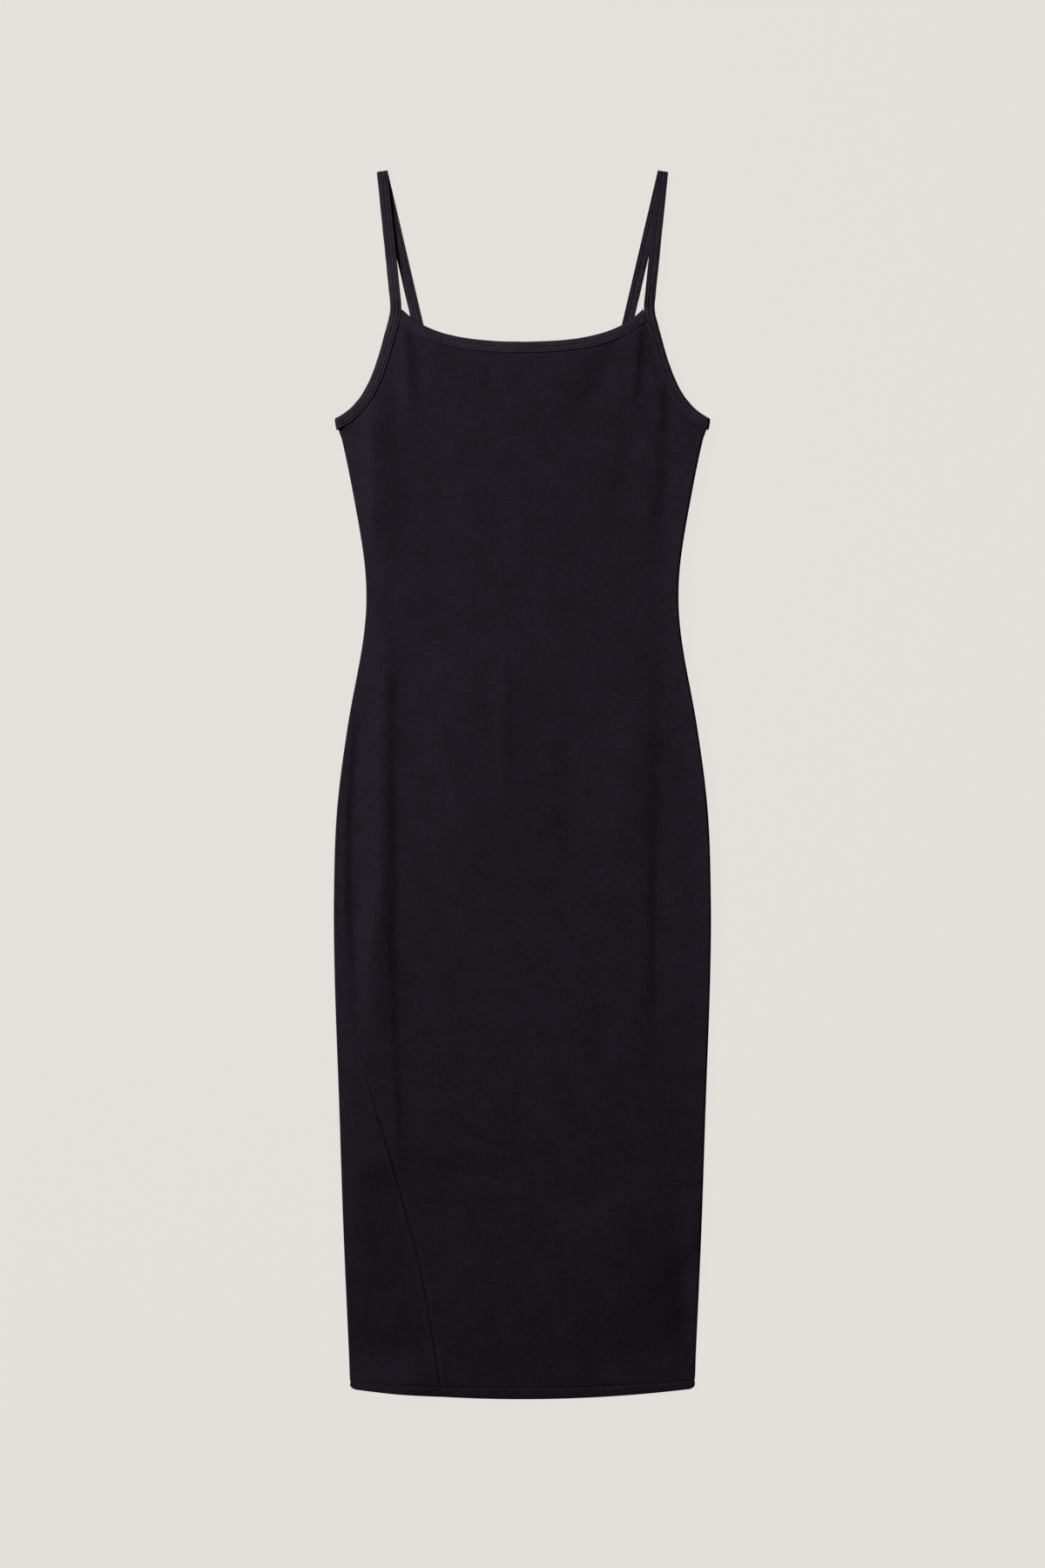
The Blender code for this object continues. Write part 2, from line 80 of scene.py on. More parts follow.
# Outline of the laid tube: level, height along Y, half width
OUTLINE = [
    ("hem edge", -0.5902, 0.1634),
    ("hem corner", -0.5890, 0.1664),
    ("hem side", -0.5865, 0.1683),
    ("shin", -0.5572, 0.1698),
    ("calf", -0.4347, 0.1752),
    ("knee", -0.3121, 0.1794),
    ("thigh", -0.1895, 0.1837),
    ("hip", -0.1130, 0.1844),
    ("high hip", -0.0262, 0.1814),
    ("belly", 0.0556, 0.1711),
    ("below waist", 0.1373, 0.1565),
    ("waist", 0.1781, 0.1528),
    ("above waist", 0.2190, 0.1548),
    ("ribs", 0.2800, 0.1648),
    ("chest", 0.3390, 0.1770),
    ("under the strip", 0.3478, 0.1812),
    ("underarm", 0.3600, 0.1830),
]

# Twisted right seam: level, height along Y, distance along the cloth from the middle of the side fold
TWISTED_SEAM = [
    ("hem", -0.6000, 0.0910),
    ("above hem", -0.5650, 0.0872),
    ("low calf", -0.4856, 0.0773),
    ("calf", -0.4260, 0.0653),
    ("knee", -0.3470, 0.0455),
    ("low thigh", -0.2840, 0.0291),
    ("thigh", -0.1930, 0.0146),
    ("leaves the side", -0.1550, 0.0070),
    ("hip", -0.1100, 0.0040),
    ("belly", 0.0600, 0.0034),
    ("meets the side", 0.1600, 0.0000),
]

SEAM_OPENS = (-0.270, -0.303)  # the twisted seam is pressed shut above these heights and open below them
SEAM_SINKS = (-0.266, -0.314)  # and below these the cloth is drawn down into it

HEM_CORNER = -0.5865
HEM_MIDDLE = -0.5995
HEM_HALF = 0.166  # half width of the hem, short of its rounded corners
# How far the rows of the cloth bow down to the centre line, and the heights between which one bow becomes the next
HEM_BOW = 9.8 * MM
HEM_TO_BODY = (-0.58, -0.10)
BODY_BOW = 4.0 * MM
BODY_TO_CHEST = (0.18, 0.345)
CHEST_BOW = 16.0 * MM
FRONT_NECK = {"half": 0.1194, "corner": 0.4667, "drop": 0.0334}
BACK_NECK = {"half": 0.0880, "corner": 0.3990, "drop": 0.0300}

# Folded edges of the strips that bind the armholes: distance from the centre line, height along Y
FRONT_ARMHOLE = [(0.1830, 0.3578), (0.1516, 0.3733), (0.1434, 0.4094), (0.1316, 0.4530)]
FRONT_CORNER = [(0.1316, 0.4530), (0.1298, 0.4597), (0.1289, 0.4640), (0.1294, 0.4710)]
BACK_ARMHOLE = [(0.1830, 0.3578), (0.1330, 0.3590), (0.1040, 0.3690), (0.0985, 0.3900)]
BACK_CORNER = [(0.0985, 0.3900), (0.0965, 0.3975), (0.0970, 0.4030), (0.0992, 0.4125)]
SHOULDER = (0.1423, 0.5971)

# Folds of the front, in millimetres: name, where it starts, its middle and its end, half width on the side towards
# the light at the top left, half width on the other side, how many times wider it ends than it starts, and the
# height of its crest (a trough is negative)
FRONT_FOLDS = [
    ("right hip crest", (-134, 152), (-136, 25), (-137, -210), 12, 10, 1.0, 3.3),
    ("right thigh crest", (-142, -70), (-147, -180), (-146, -300), 11, 13, 1.0, 2.8),
    ("right thigh step", (-134, -90), (-131, -270), (-119, -415), 28, 7, 0.9, 2.2),
    ("right hip crease", (-123, 40), (-123, -60), (-121, -180), 5, 7, 1.0, -0.5),
    ("right side trough", (-156, 92), (-177, -80), (-157, -240), 5, 11, 1.0, -2.5),
    ("left hip trough", (137, 200), (134, -60), (134, -370), 9, 17, 1.25, -1.25),
    ("left thigh trough", (131, -30), (129, -140), (131, -258), 5, 12, 1.2, -1.15),
    ("left hip swell", (112, 92), (108, 8), (102, -80), 26, 30, 1.0, 2.6),
    ("right bust ridge", (-117, 492), (-114, 410), (-110, 346), 4.5, 4.5, 1.8, 1.7),
    ("right bust trough", (-126, 412), (-124, 365), (-126, 322), 7, 9, 1.3, -0.8),
    ("right rib crest", (-150, 386), (-142, 300), (-144, 215), 9.5, 22, 1.0, 4.0),
    ("right bust pleat", (-106, 430), (-100, 400), (-96, 355), 5, 6, 1.3, -0.3),
    ("left bust hollow", (97, 438), (76, 388), (44, 322), 10, 30, 2.2, -2.6),
    ("left bust crest", (117, 506), (112, 410), (102, 344), 11, 2.7, 2.6, 2.0),
    ("left bust pleat, lower end", (110, 362), (101, 300), (78, 222), 9, 14, 1.5, -1.1),
    ("left side ridge", (131, 400), (136, 370), (134, 335), 8, 6, 1.0, 0.9),
    ("left side trough", (141, 392), (145, 320), (133, 200), 7, 11, 1.5, -1.8),
    ("belly ridge", (-18, 140), (-18, 60), (-15, -30), 8, 7, 1.2, 1.2),
    ("belly dip", (38, 60), (46, -20), (50, -150), 12, 18, 1.2, -1.0),
    ("belly swell", (30, 70), (30, 30), (28, -10), 12, 14, 1.0, 0.7),
    ("right belly swell", (-60, 150), (-54, 10), (-46, -150), 42, 60, 1.0, 3.6),
    ("knee crease", (-78, -333), (-38, -348), (2, -365), 3.0, 4.5, 1.0, -0.65),
    ("knee pinch", (-50, -342), (-28, -352), (-6, -359), 2.2, 3.0, 1.0, -0.40),
    ("lower knee crease", (-86, -372), (-38, -382), (14, -394), 3.0, 4.5, 1.0, -0.60),
    ("right calf hollow", (-128, -360), (-118, -440), (-108, -530), 30, 110, 1.0, -3.0),
    ("hollow at the twisted seam", (-116, -390), (-101, -440), (-90, -520), 14, 40, 1.0, -0.6),
    ("right calf crest", (-118, -490), (-126, -520), (-134, -556), 12, 10, 1.0, 0.8),
    ("right hem hollow", (-210, -550), (-130, -546), (-40, -556), 50, 23, 1.0, -3.1),
    ("left hem hollow", (50, -558), (120, -552), (205, -548), 60, 20, 1.0, -2.6),
    ("middle hem hollow", (-70, -562), (0, -568), (66, -562), 30, 14, 1.0, -0.8),
    ("left calf crest", (84, -390), (116, -470), (100, -570), 50, 34, 1.0, 3.2),
    ("left calf hollow", (152, -450), (160, -520), (170, -600), 15, 12, 1.0, -2.2),
    ("left edge patch", (168, -396), (170, -430), (168, -462), 12, 6, 1.0, 1.2),
]
TOWARDS_LIGHT = np.array([-0.64, 0.77])
FOLD_REACH = 2.6  # half widths from its middle at which a fold has died out
FOLD_STARTS = (0.0, 0.22)  # shares of its length over which a fold comes up
FOLD_ENDS = (1.0, 0.62)  # and over which it dies out

# Slack of the cloth between its folds: height, pitch across and pitch along in millimetres, and seed
SLACK = [(0.10, 23, 41, 5), (0.05, 9, 15, 6), (0.045, 34, 6.5, 7)]

# How the front lies next to its side folds: level, height along Y, rise at the right fold and at the left fold in
# millimetres. The right side is pressed down towards its fold, and the left side stands up to it.
SIDE_ROLL = [
    ("hem", -0.575, -0.8, 0.4),
    ("calf", -0.420, -2.0, 0.8),
    ("knee", -0.300, -2.6, 1.0),
    ("thigh", -0.200, -2.2, 2.0),
    ("hip", -0.050, -1.8, 3.2),
    ("belly", 0.060, -1.7, 3.4),
    ("waist", 0.180, -1.7, 2.6),
    ("ribs", 0.290, -1.8, 2.2),
    ("underarm", 0.350, -2.4, 1.0),
]
RIGHT_ROLL_WIDTH = 17.0 * MM
LEFT_ROLL_WIDTH = 24.0 * MM

# With no back behind it, the front sags towards the ground along its neckline and its right armhole
NECK_SAG = 2.2 * MM
NECK_SAG_WIDTH = 17.0 * MM
NECK_SAG_CORNERS = (0.070, 0.095)  # it sags less past these distances from the centre line
ARMHOLE_SAG_WIDTH = 20.0 * MM
LEFT_ARMHOLE_SAG = 0.25  # the left armhole's share of the right one's sag
BINDING_CURL = 1.3 * MM  # the bindings' folded edges lie this much lower than their inner edges
ABOVE_UNDERARM = (0.362, 0.392)  # heights over which the sag comes in
BINDING_CURLS = (0.357, 0.375)  # and over which the curl does
HEM_CURL = 8.2 * MM  # the right corner of the hem turns up by 0.6 of this
HEM_CURL_WAY = (0.30, -0.954)  # the direction in which it rises
HEM_CURL_RAMP = (0.492, 0.545)  # and the distances that way over which it does
HEM_CURL_STARTS = (-0.070, -0.135)  # across, from none to all of it


def ease(value, start, end):
    """Runs smoothly from 0 at start to 1 at end."""
    t = np.clip((value - start) / (end - start), 0.0, 1.0)
    return t * t * (3.0 - 2.0 * t)


def bump(away, width):
    """A soft bump: 1 at its middle, 0.37 at a width from there and nearly 0 at twice that."""
    return np.exp(-((away / width) ** 2))


def along(table, y, column=2):
    """Smooth value at heights y of a column of a table, whose rows give a name, a height and values from the hem up."""
    marks = np.array([row[1] for row in table])
    values = np.array([row[column] for row in table])
    slopes = np.empty(len(marks))
    slopes[1:-1] = (values[2:] - values[:-2]) / (marks[2:] - marks[:-2])
    slopes[0] = (values[1] - values[0]) / (marks[1] - marks[0])
    slopes[-1] = (values[-1] - values[-2]) / (marks[-1] - marks[-2])
    y = np.clip(y, marks[0], marks[-1])
    i = np.clip(np.searchsorted(marks, y, side="right") - 1, 0, len(marks) - 2)
    span = marks[i + 1] - marks[i]
    t = (y - marks[i]) / span
    start = (2 * t**3 - 3 * t**2 + 1) * values[i] + (t**3 - 2 * t**2 + t) * span * slopes[i]
    return start + (3 * t**2 - 2 * t**3) * values[i + 1] + (t**3 - t**2) * span * slopes[i + 1]


def bend(handles, steps):
    """Points of a curve of the second or third degree through the first and last of its handles."""
    points = np.array(handles, float)[:, None, :]
    t = np.linspace(0.0, 1.0, steps + 1)[:, None]
    while len(points) > 1:
        points = points[:-1] * (1 - t) + points[1:] * t
    return points[0]


def nearest(line, x, y):
    """For each place: its distance from a line of points, its share of the way along it, and the offset itself."""
    flat = np.stack([np.ravel(x), np.ravel(y)], axis=1)
    best = np.full(len(flat), np.inf)
    share = np.zeros(len(flat))
    offset = np.zeros((len(flat), 2))
    pieces = len(line) - 1
    for k in range(pieces):
        run = line[k + 1] - line[k]
        t = np.clip((flat - line[k]) @ run / (run @ run), 0.0, 1.0)
        gap = flat - line[k] - t[:, None] * run
        away = np.hypot(gap[:, 0], gap[:, 1])
        closer = away < best
        best = np.where(closer, away, best)
        share = np.where(closer, (k + t) / pieces, share)
        offset = np.where(closer[:, None], gap, offset)
    return best.reshape(np.shape(x)), share.reshape(np.shape(x)), offset.reshape(*np.shape(x), 2)


class Edge:
    """A line in the plane of the cloth, measured by its length; inset moves it to its left."""

    def __init__(self, points):
        points = np.array(points, float)
        steps = np.hypot(*np.diff(points, axis=0).T)
        self.points = points[np.concatenate([[True], steps > 0.001 * MM])]
        self.marks = np.concatenate([[0.0], np.cumsum(np.hypot(*np.diff(self.points, axis=0).T))])
        self.length = self.marks[-1]
        last = len(self.points) - 1
        ends = np.arange(last + 1)
        run = self.points[np.minimum(ends + 1, last)] - self.points[np.maximum(ends - 1, 0)]
        self.normals = np.stack([-run[:, 1], run[:, 0]], axis=1) / np.hypot(*run.T)[:, None]

    def at(self, s, inset=0.0):
        """Points at lengths s; before the start and past the end the line runs on straight."""
        s, inset = np.broadcast_arrays(np.asarray(s, float), np.asarray(inset, float))
        k = np.clip(np.searchsorted(self.marks, s) - 1, 0, len(self.points) - 2)
        t = ((s - self.marks[k]) / (self.marks[k + 1] - self.marks[k]))[..., None]
        turn = np.clip(t, 0.0, 1.0)
        normal = self.normals[k] * (1 - turn) + self.normals[k + 1] * turn
        normal /= np.hypot(normal[..., 0], normal[..., 1])[..., None]
        return self.points[k] * (1 - t) + self.points[k + 1] * t + normal * inset[..., None]

    def distance(self, x, y):
        return nearest(self.points, x, y)[0]

    def crossing(self, inside, inset, low, high):
        """Length between low and high where the inset line leaves the region."""
        start = inside(self.at(low, inset))
        for _ in range(30):
            middle = (low + high) / 2
            if inside(self.at(middle, inset)) == start:
                low = middle
            else:
                high = middle
        return low


def neck_shape(s):
    """Rise of a neckline from 0 at its middle to 1 at its corners."""
    s = np.minimum(1.0, np.abs(s))
    return 0.6 * s**2.3 + 0.4 * s**6


def neck_edge(neck):
    """Folded edge of a neck binding from the wearer's left to right, so that the cloth is on its left."""
    x = np.linspace(1.0, -1.0, 81) * (neck["half"] + TAPE_WIDTH)
    return Edge(np.stack([x, neck["corner"] - neck["drop"] * (1 - neck_shape(x / neck["half"]))], axis=1))


FRONT_EDGE = Edge(np.concatenate([bend(FRONT_ARMHOLE, 40), bend(FRONT_CORNER, 10), [SHOULDER]]))
BACK_EDGE = Edge(np.concatenate([bend(BACK_ARMHOLE, 40), bend(BACK_CORNER, 10), [SHOULDER]]))
FRONT_NECK_EDGE = neck_edge(FRONT_NECK)
BACK_NECK_EDGE = neck_edge(BACK_NECK)


def fold_relief(table, x, y):
    """Height of a table of folds over the resting cloth. Each fold fades in and out along its length."""
    total = np.zeros(np.shape(x))
    for _, start, middle, end, lit, shaded, widening, crest in table:
        line = bend([start, middle, end], 12) * MM
        reach = FOLD_REACH * max(lit, shaded) * max(1.0, widening) * MM
        low, high = line.min(axis=0) - reach, line.max(axis=0) + reach
        near = (x > low[0]) & (x < high[0]) & (y > low[1]) & (y < high[1])
        if not near.any():
            continue
        away, share, offset = nearest(line, x[near], y[near])
        width = np.where(offset @ TOWARDS_LIGHT > 0, lit, shaded) * MM * (1.0 + (widening - 1.0) * share)
        swell = ease(share, *FOLD_STARTS) * ease(share, *FOLD_ENDS)
        total[near] += crest * MM * swell * bump(away, width)
    return total


def uneven(place, pitch, seed):
    """Smooth random values from -1 to 1 along a line, which change over about one pitch."""
    knots = np.random.default_rng(seed).uniform(-1.0, 1.0, 4096)
    k = np.floor(np.asarray(place) / pitch)
    t = place / pitch - k
    k = k.astype(int)
    t = t * t * (3 - 2 * t)
    return knots[k % 4096] * (1 - t) + knots[(k + 1) % 4096] * t


def slack(x, y, pitch_x, pitch_y, seed):
    """Smooth random values from -1 to 1 over the cloth, which change over about one pitch each way."""
    knots = np.random.default_rng(seed).uniform(-1.0, 1.0, (64, 256))
    u, v = x / pitch_x + 16.3, y / pitch_y + 96.7
    i, j = np.floor(u).astype(int), np.floor(v).astype(int)
    s, t = u - i, v - j
    s, t = s * s * (3 - 2 * s), t * t * (3 - 2 * t)
    low = knots[i % 64, j % 256] * (1 - s) + knots[(i + 1) % 64, j % 256] * s
    high = knots[i % 64, (j + 1) % 256] * (1 - s) + knots[(i + 1) % 64, (j + 1) % 256] * s
    return low * (1 - t) + high * t


def front_relief(x, y):
    """Height of the front's folds: they die out into the bindings and into the stitched hem."""
    total = fold_relief(FRONT_FOLDS, x, y)
    from_side = np.maximum(flat_half(y) - np.abs(x), 0.0)
    right = along(SIDE_ROLL, y) * np.maximum(1.0 - from_side / RIGHT_ROLL_WIDTH, 0.0) ** 2
    left = along(SIDE_ROLL, y, 3) * np.maximum(1.0 - from_side / LEFT_ROLL_WIDTH, 0.0) ** 2
    total += MM * np.where(x < 0, right, left)
    for rise, across, upward, seed in SLACK:
        total += rise * MM * slack(x, y, across * MM, upward * MM, seed)
    from_armhole = FRONT_EDGE.distance(np.abs(x), y)
    from_neck = FRONT_NECK_EDGE.distance(np.abs(x), y)
    from_edge = np.minimum(from_armhole, from_neck)
    at_neck = bump(from_neck, NECK_SAG_WIDTH) * (1 - 0.35 * ease(np.abs(x), *NECK_SAG_CORNERS))
    at_armhole = bump(from_armhole, ARMHOLE_SAG_WIDTH) * ease(y, *ABOVE_UNDERARM)
    at_armhole = at_armhole * np.where(x < 0, 1.0, LEFT_ARMHOLE_SAG)
    sag = NECK_SAG * (1 - (1 - at_neck) * (1 - at_armhole))
    sag = sag + BINDING_CURL * np.maximum(0.0, 1 - from_edge / TAPE_WIDTH) * ease(y, *BINDING_CURLS)
    corner_way = HEM_CURL_WAY[0] * x + HEM_CURL_WAY[1] * y
    curled_up = HEM_CURL * ease(corner_way, *HEM_CURL_RAMP) * ease(x, *HEM_CURL_STARTS)
    above_hem = ease(y, HEM_MIDDLE + 0.5 * HEM_DEPTH, HEM_MIDDLE + 2.6 * HEM_DEPTH)
    clear = ease(from_edge, TAPE_WIDTH, 1.35 * TAPE_WIDTH)
    return total * above_hem * clear + curled_up - sag


# Creases of the back, in millimetres, in the same columns. They only rise, so that the back rests flat.
BACK_FOLDS = [
    ("right back crest", (-128, 120), (-134, -40), (-126, -260), 12, 16, 1.2, 0.8),
    ("left back crest", (120, 150), (131, -60), (122, -300), 14, 9, 0.8, 0.7),
    ("waist crease", (-96, 196), (-40, 182), (22, 190), 7, 9, 1.0, 0.5),
    ("waist crease, left", (34, 170), (70, 160), (112, 172), 6, 8, 1.3, 0.4),
    ("seat crease", (-70, -170), (-22, -182), (30, -174), 8, 10, 0.7, 0.5),
    ("right calf crest", (-60, -380), (-84, -450), (-70, -540), 12, 18, 1.0, 0.6),
    ("left calf crest", (76, -350), (90, -430), (70, -520), 16, 11, 1.2, 0.7),
    ("knee crease", (-40, -318), (10, -330), (64, -322), 5, 7, 1.0, 0.4),
    ("shoulder blade", (48, 300), (62, 262), (90, 226), 10, 14, 1.3, 0.5),
]


def height(layer, x, y):
    """Height over the ground of the middle of the cloth: layer 1 is the front and layer -1 the back."""
    if layer < 0:
        away = np.minimum(BACK_EDGE.distance(np.abs(x), y), BACK_NECK_EDGE.distance(np.abs(x), y))
        near = ease(away, *BACK_RAMP)
        above_hem = ease(y, HEM_MIDDLE + 3 * HEM_DEPTH, HEM_MIDDLE + 6 * HEM_DEPTH)
        return BACK_REST + BACK_RISE * near + fold_relief(BACK_FOLDS, x, y) * above_hem * (1 - near)
    strap_level = STRAP_HALF + 2 * SHOULDER_FOLD
    level = FRONT_REST + CHEST_RISE * ease(y, *CHEST_RAMP) + front_relief(x, y)
    return level + (strap_level - level) * ease(y, *STRAP_RAMP)


def flat_half(y):
    """Half width of the flat part of the tube, between its side folds."""
    return along(OUTLINE, y) - CLOTH / 2 - SIDE_FOLD


def side_seam(y):
    """Distance along the cloth from a centre line to the middle of the side fold."""
    return flat_half(y) + math.pi * SIDE_FOLD / 2


def twisted_gap(y):
    """Half the gap between the two panels along the twisted seam, which is pressed shut above the knee."""
    return SEAM_GAP * (0.08 + 0.29 * ease(y, *SEAM_OPENS))


def twisted_seam(y):
    """Distance along the front from its centre line to the twisted right seam, straight through the hem."""
    return side_seam(np.maximum(y, HEM_CORNER)) - along(TWISTED_SEAM, y)


def tube(layer, across, y, lift, half):
    """Points of the laid dress. across runs along the cloth from the centre line of a layer over the flat half
    width, on round the side fold and back along the other layer; lift is the distance out of the cloth's middle."""
    side = np.where(across < 0, -1.0, 1.0)
    out = np.maximum(np.abs(across) - half, 0.0)
    turn = np.minimum(out / SIDE_FOLD, math.pi)
    past = out >= math.pi * SIDE_FOLD
    x_own = np.where(out > 0, side * half, across)
    x_other = np.where(past, side * (half - out + math.pi * SIDE_FOLD), side * half)
    own, other = height(layer, x_own, y), height(-layer, x_other, y)
    swing = (own - other) / 2 + layer * lift
    x = x_own + side * (SIDE_FOLD + lift) * np.sin(turn)
    z = (own + other) / 2 + swing * np.cos(turn)
    x = np.where(past, x_other, x)
    z = np.where(past, other - layer * lift, np.where(out > 0, z, own + layer * lift))
    return np.stack([x, y, z], axis=-1)


def laid_rows(armhole, neck, side_levels, armhole_shares):
    """Rows of a panel from the turned-up edge of its hem, round the hem fold, up to its neckline, as columns of
    values: level where the row ends, distance across there (0 on a side seam), bow, turn, and share of the neck."""
    hem_end = HEM_MIDDLE + HEM_BOW
    hem_rows, fold_rows = 6, 10
    rows = [(hem_end + HEM_DEPTH * k / hem_rows, 0.0, HEM_BOW, math.pi, 0.0) for k in range(hem_rows, 0, -1)]
    rows += [(hem_end, 0.0, HEM_BOW, math.pi * k / fold_rows, 0.0) for k in range(fold_rows, -1, -1)]
    for y in side_levels:
        bow = HEM_BOW + (BODY_BOW - HEM_BOW) * ease(y, *HEM_TO_BODY) + (CHEST_BOW - BODY_BOW) * ease(y, *BODY_TO_CHEST)
        rows.append((y, 0.0, float(bow), 0.0, 0.0))

    def on_cloth(point):
        return point[0] <= side_seam(point[1]) - SEAM_GAP / 2

    def below_neck(point):
        return point[1] <= neck["corner"] - PANEL_INSET

    start = armhole.crossing(on_cloth, PANEL_INSET, -0.02, 0.03)
    stop = armhole.crossing(below_neck, PANEL_INSET, start, start + 0.2)
    for t in armhole_shares:
        end = armhole.at(start + (stop - start) * t, PANEL_INSET)
        rows.append((end[1], end[0], CHEST_BOW + (neck["drop"] - CHEST_BOW) * t, 0.0, t))
    return np.array(rows)


def seam_end(rows):
    """Distance from the centre line to a plain side seam; the turned-up hem stops short of the side fold."""
    short = math.pi * SIDE_FOLD / 2 * (1.0 - np.cos(rows[:, 3])) / 2
    return np.where(rows[:, 1] > 0, rows[:, 1], side_seam(rows[:, 0]) - SEAM_GAP / 2 - short)


def panel_face(rows, neck, layer, across, offset, lift_of):
    """One face of a panel, as a grid of points. offset is the distance of that face out of the middle of the cloth,
    and lift_of adds the small rises and dips of its seams and hem. The second result is each point's place in the
    flat cloth."""
    level, end, bow, turn, share = (rows[:, k, None] for k in range(5))
    half = np.broadcast_to(flat_half(level), across.shape)
    reach = np.where(end > 0, end, half)
    folded = np.minimum(np.abs(across), np.minimum(half, 2 * half + math.pi * SIDE_FOLD - np.abs(across)))
    x = np.where(end > 0, np.abs(across), folded)
    plain = np.minimum(1.0, x / reach) ** 2
    reference = reach + (neck["half"] - reach) * share
    shape = plain + (neck_shape(x / reference) - plain) * share
    y = level - bow * (1.0 - shape)
    up = -HEM_RADIUS + (HEM_RADIUS + offset + lift_of(across, y) * np.cos(turn)) * np.cos(turn)
    y = y + np.where(turn > 0, HEM_RADIUS - (HEM_RADIUS + offset) * np.sin(turn), 0.0)
    place = np.stack([across, np.where(turn > 1.6, 2 * (HEM_MIDDLE + HEM_BOW) - y, y), np.zeros_like(y)], axis=-1)
    return tube(layer, across, y, up, half), place


def close_shell(name, outer, inner, places, coarse=3):
    """Closed shell between a fine face and a coarser one behind it: the coarse grid holds every third row and
    column of the fine one, and strips of small faces join the two round the rim."""
    rows, columns = outer.shape[:2]
    back = inner[::coarse, ::coarse]
    b_rows, b_columns = back.shape[:2]
    fine = np.arange(rows * columns).reshape(rows, columns)
    plain = np.arange(b_rows * b_columns).reshape(b_rows, b_columns) + rows * columns
    quads = np.stack([fine[:-1, :-1], fine[:-1, 1:], fine[1:, 1:], fine[1:, :-1]], axis=-1).reshape(-1, 4)
    behind = np.stack([plain[:-1, :-1], plain[1:, :-1], plain[1:, 1:], plain[:-1, 1:]], axis=-1).reshape(-1, 4)
    faces = quads.tolist() + behind.tolist()
    rims = [
        (fine[0], plain[0]),
        (fine[:, -1], plain[:, -1]),
        (fine[-1, ::-1], plain[-1, ::-1]),
        (fine[::-1, 0], plain[::-1, 0]),
    ]
    for front_rim, back_rim in rims:
        for k in range(len(back_rim) - 1):
            run = front_rim[coarse * k : coarse * (k + 1) + 1].tolist()
            faces.append(run[::-1] + [int(back_rim[k]), int(back_rim[k + 1])])
    points = np.concatenate([outer.reshape(-1, 3), back.reshape(-1, 3)])
    flat = np.concatenate([places.reshape(-1, 3), places[::coarse, ::coarse].reshape(-1, 3)])
    return cloth_object(name, points, faces, flat)


def in_scene(name, data):
    """A new object at the origin."""
    made = bpy.data.objects.new(name, data)
    bpy.context.scene.collection.objects.link(made)
    return made


def cloth_object(name, points, faces, flat):
    """A smooth mesh that carries each point's place in the flat cloth, across and along, for its knit."""
    mesh = bpy.data.meshes.new(name)
    mesh.from_pydata(points.tolist(), [], faces)
    mesh.attributes.new("lay", "FLOAT_VECTOR", "POINT").data.foreach_set("vector", np.ravel(flat))
    mesh.shade_smooth()
    mesh.set_sharp_from_angle(angle=math.radians(62))
    mesh.validate()
    return in_scene(name, mesh)


def hem_height(x):
    """Height of the hem's edge along Y, which bows down to its middle."""
    return HEM_MIDDLE + HEM_BOW * np.minimum(1.0, np.abs(x) / HEM_HALF) ** 2


def stitched_height(x):
    """Height of the row of stitches along the hem, which runs nearer the edge towards the sides."""
    shallower = np.where(x < 0, 4.0, 2.0) * MM  # at the right and left corners
    return hem_height(x) + HEM_DEPTH - shallower * np.minimum(1.0, np.abs(x) / HEM_HALF) ** 2


HEM_SWELL = 0.30 * MM
HEM_ROW_DIP = 0.55 * MM
HEM_ROW_WIDTH = 0.9 * MM


def hem_lift(x, y):
    """The hem swells over its turned-up edge and is drawn in along its stitches."""
    from_edge, from_row = y - hem_height(x), y - stitched_height(x)
    swell = ease(from_edge, 0.5 * MM, 3.0 * MM) * ease(from_row, 0.0, -3.0 * MM)
    return HEM_SWELL * swell - HEM_ROW_DIP * bump(from_row, HEM_ROW_WIDTH)


LEFT_SEAM_DIP = 0.25 * MM
LEFT_SEAM_WIDTH = 1.2 * MM
TWISTED_SEAM_DIP = 0.37 * MM
TWISTED_SEAM_WIDTH = 1.5 * MM
SEAM_PUCKER = 0.07 * MM  # up and down, along the twisted seam
PUCKER_PITCH = 5.0 * MM
PUCKER_WIDTH = 7.0 * MM


def folded_across(across, y):
    """Where a point of either layer lies across the laid dress, given its distance along the cloth."""
    half = flat_half(y)
    out = np.abs(across) - half
    back = np.where(out > math.pi * SIDE_FOLD, half - out + math.pi * SIDE_FOLD, half)
    return np.sign(across) * np.where(out > 0, back, np.abs(across))


def front_lift(across, y):
    """Small rises and dips of the front: the hem, and the cloth drawn down into its two seams."""
    from_twisted = across + twisted_seam(y)
    strength = 0.04 + 0.96 * ease(y, *SEAM_SINKS)
    drawn = TWISTED_SEAM_DIP * bump(from_twisted, TWISTED_SEAM_WIDTH)
    puckered = SEAM_PUCKER * uneven(y, PUCKER_PITCH, 21) * bump(from_twisted, PUCKER_WIDTH)
    at_left = LEFT_SEAM_DIP * bump(side_seam(y) - across, LEFT_SEAM_WIDTH)
    return hem_lift(across, y) - strength * drawn - at_left + strength * puckered


def spaced(start, end, step):
    """Even values from start to end, about a step apart."""
    return np.linspace(start, end, max(2, round(abs(end - start) / step) + 1))


def column_shares(inner, near_end):
    """A function of the half length of a row: distances from the centre line, evenly spaced and then close."""

    def stops(half_length):
        last_even = half_length - near_end[0] * MM
        even = last_even[:, None] * np.arange(inner)[None, :] / inner
        return np.concatenate([even, half_length[:, None] - np.array(near_end)[None, :] * MM], axis=1)

    return stops


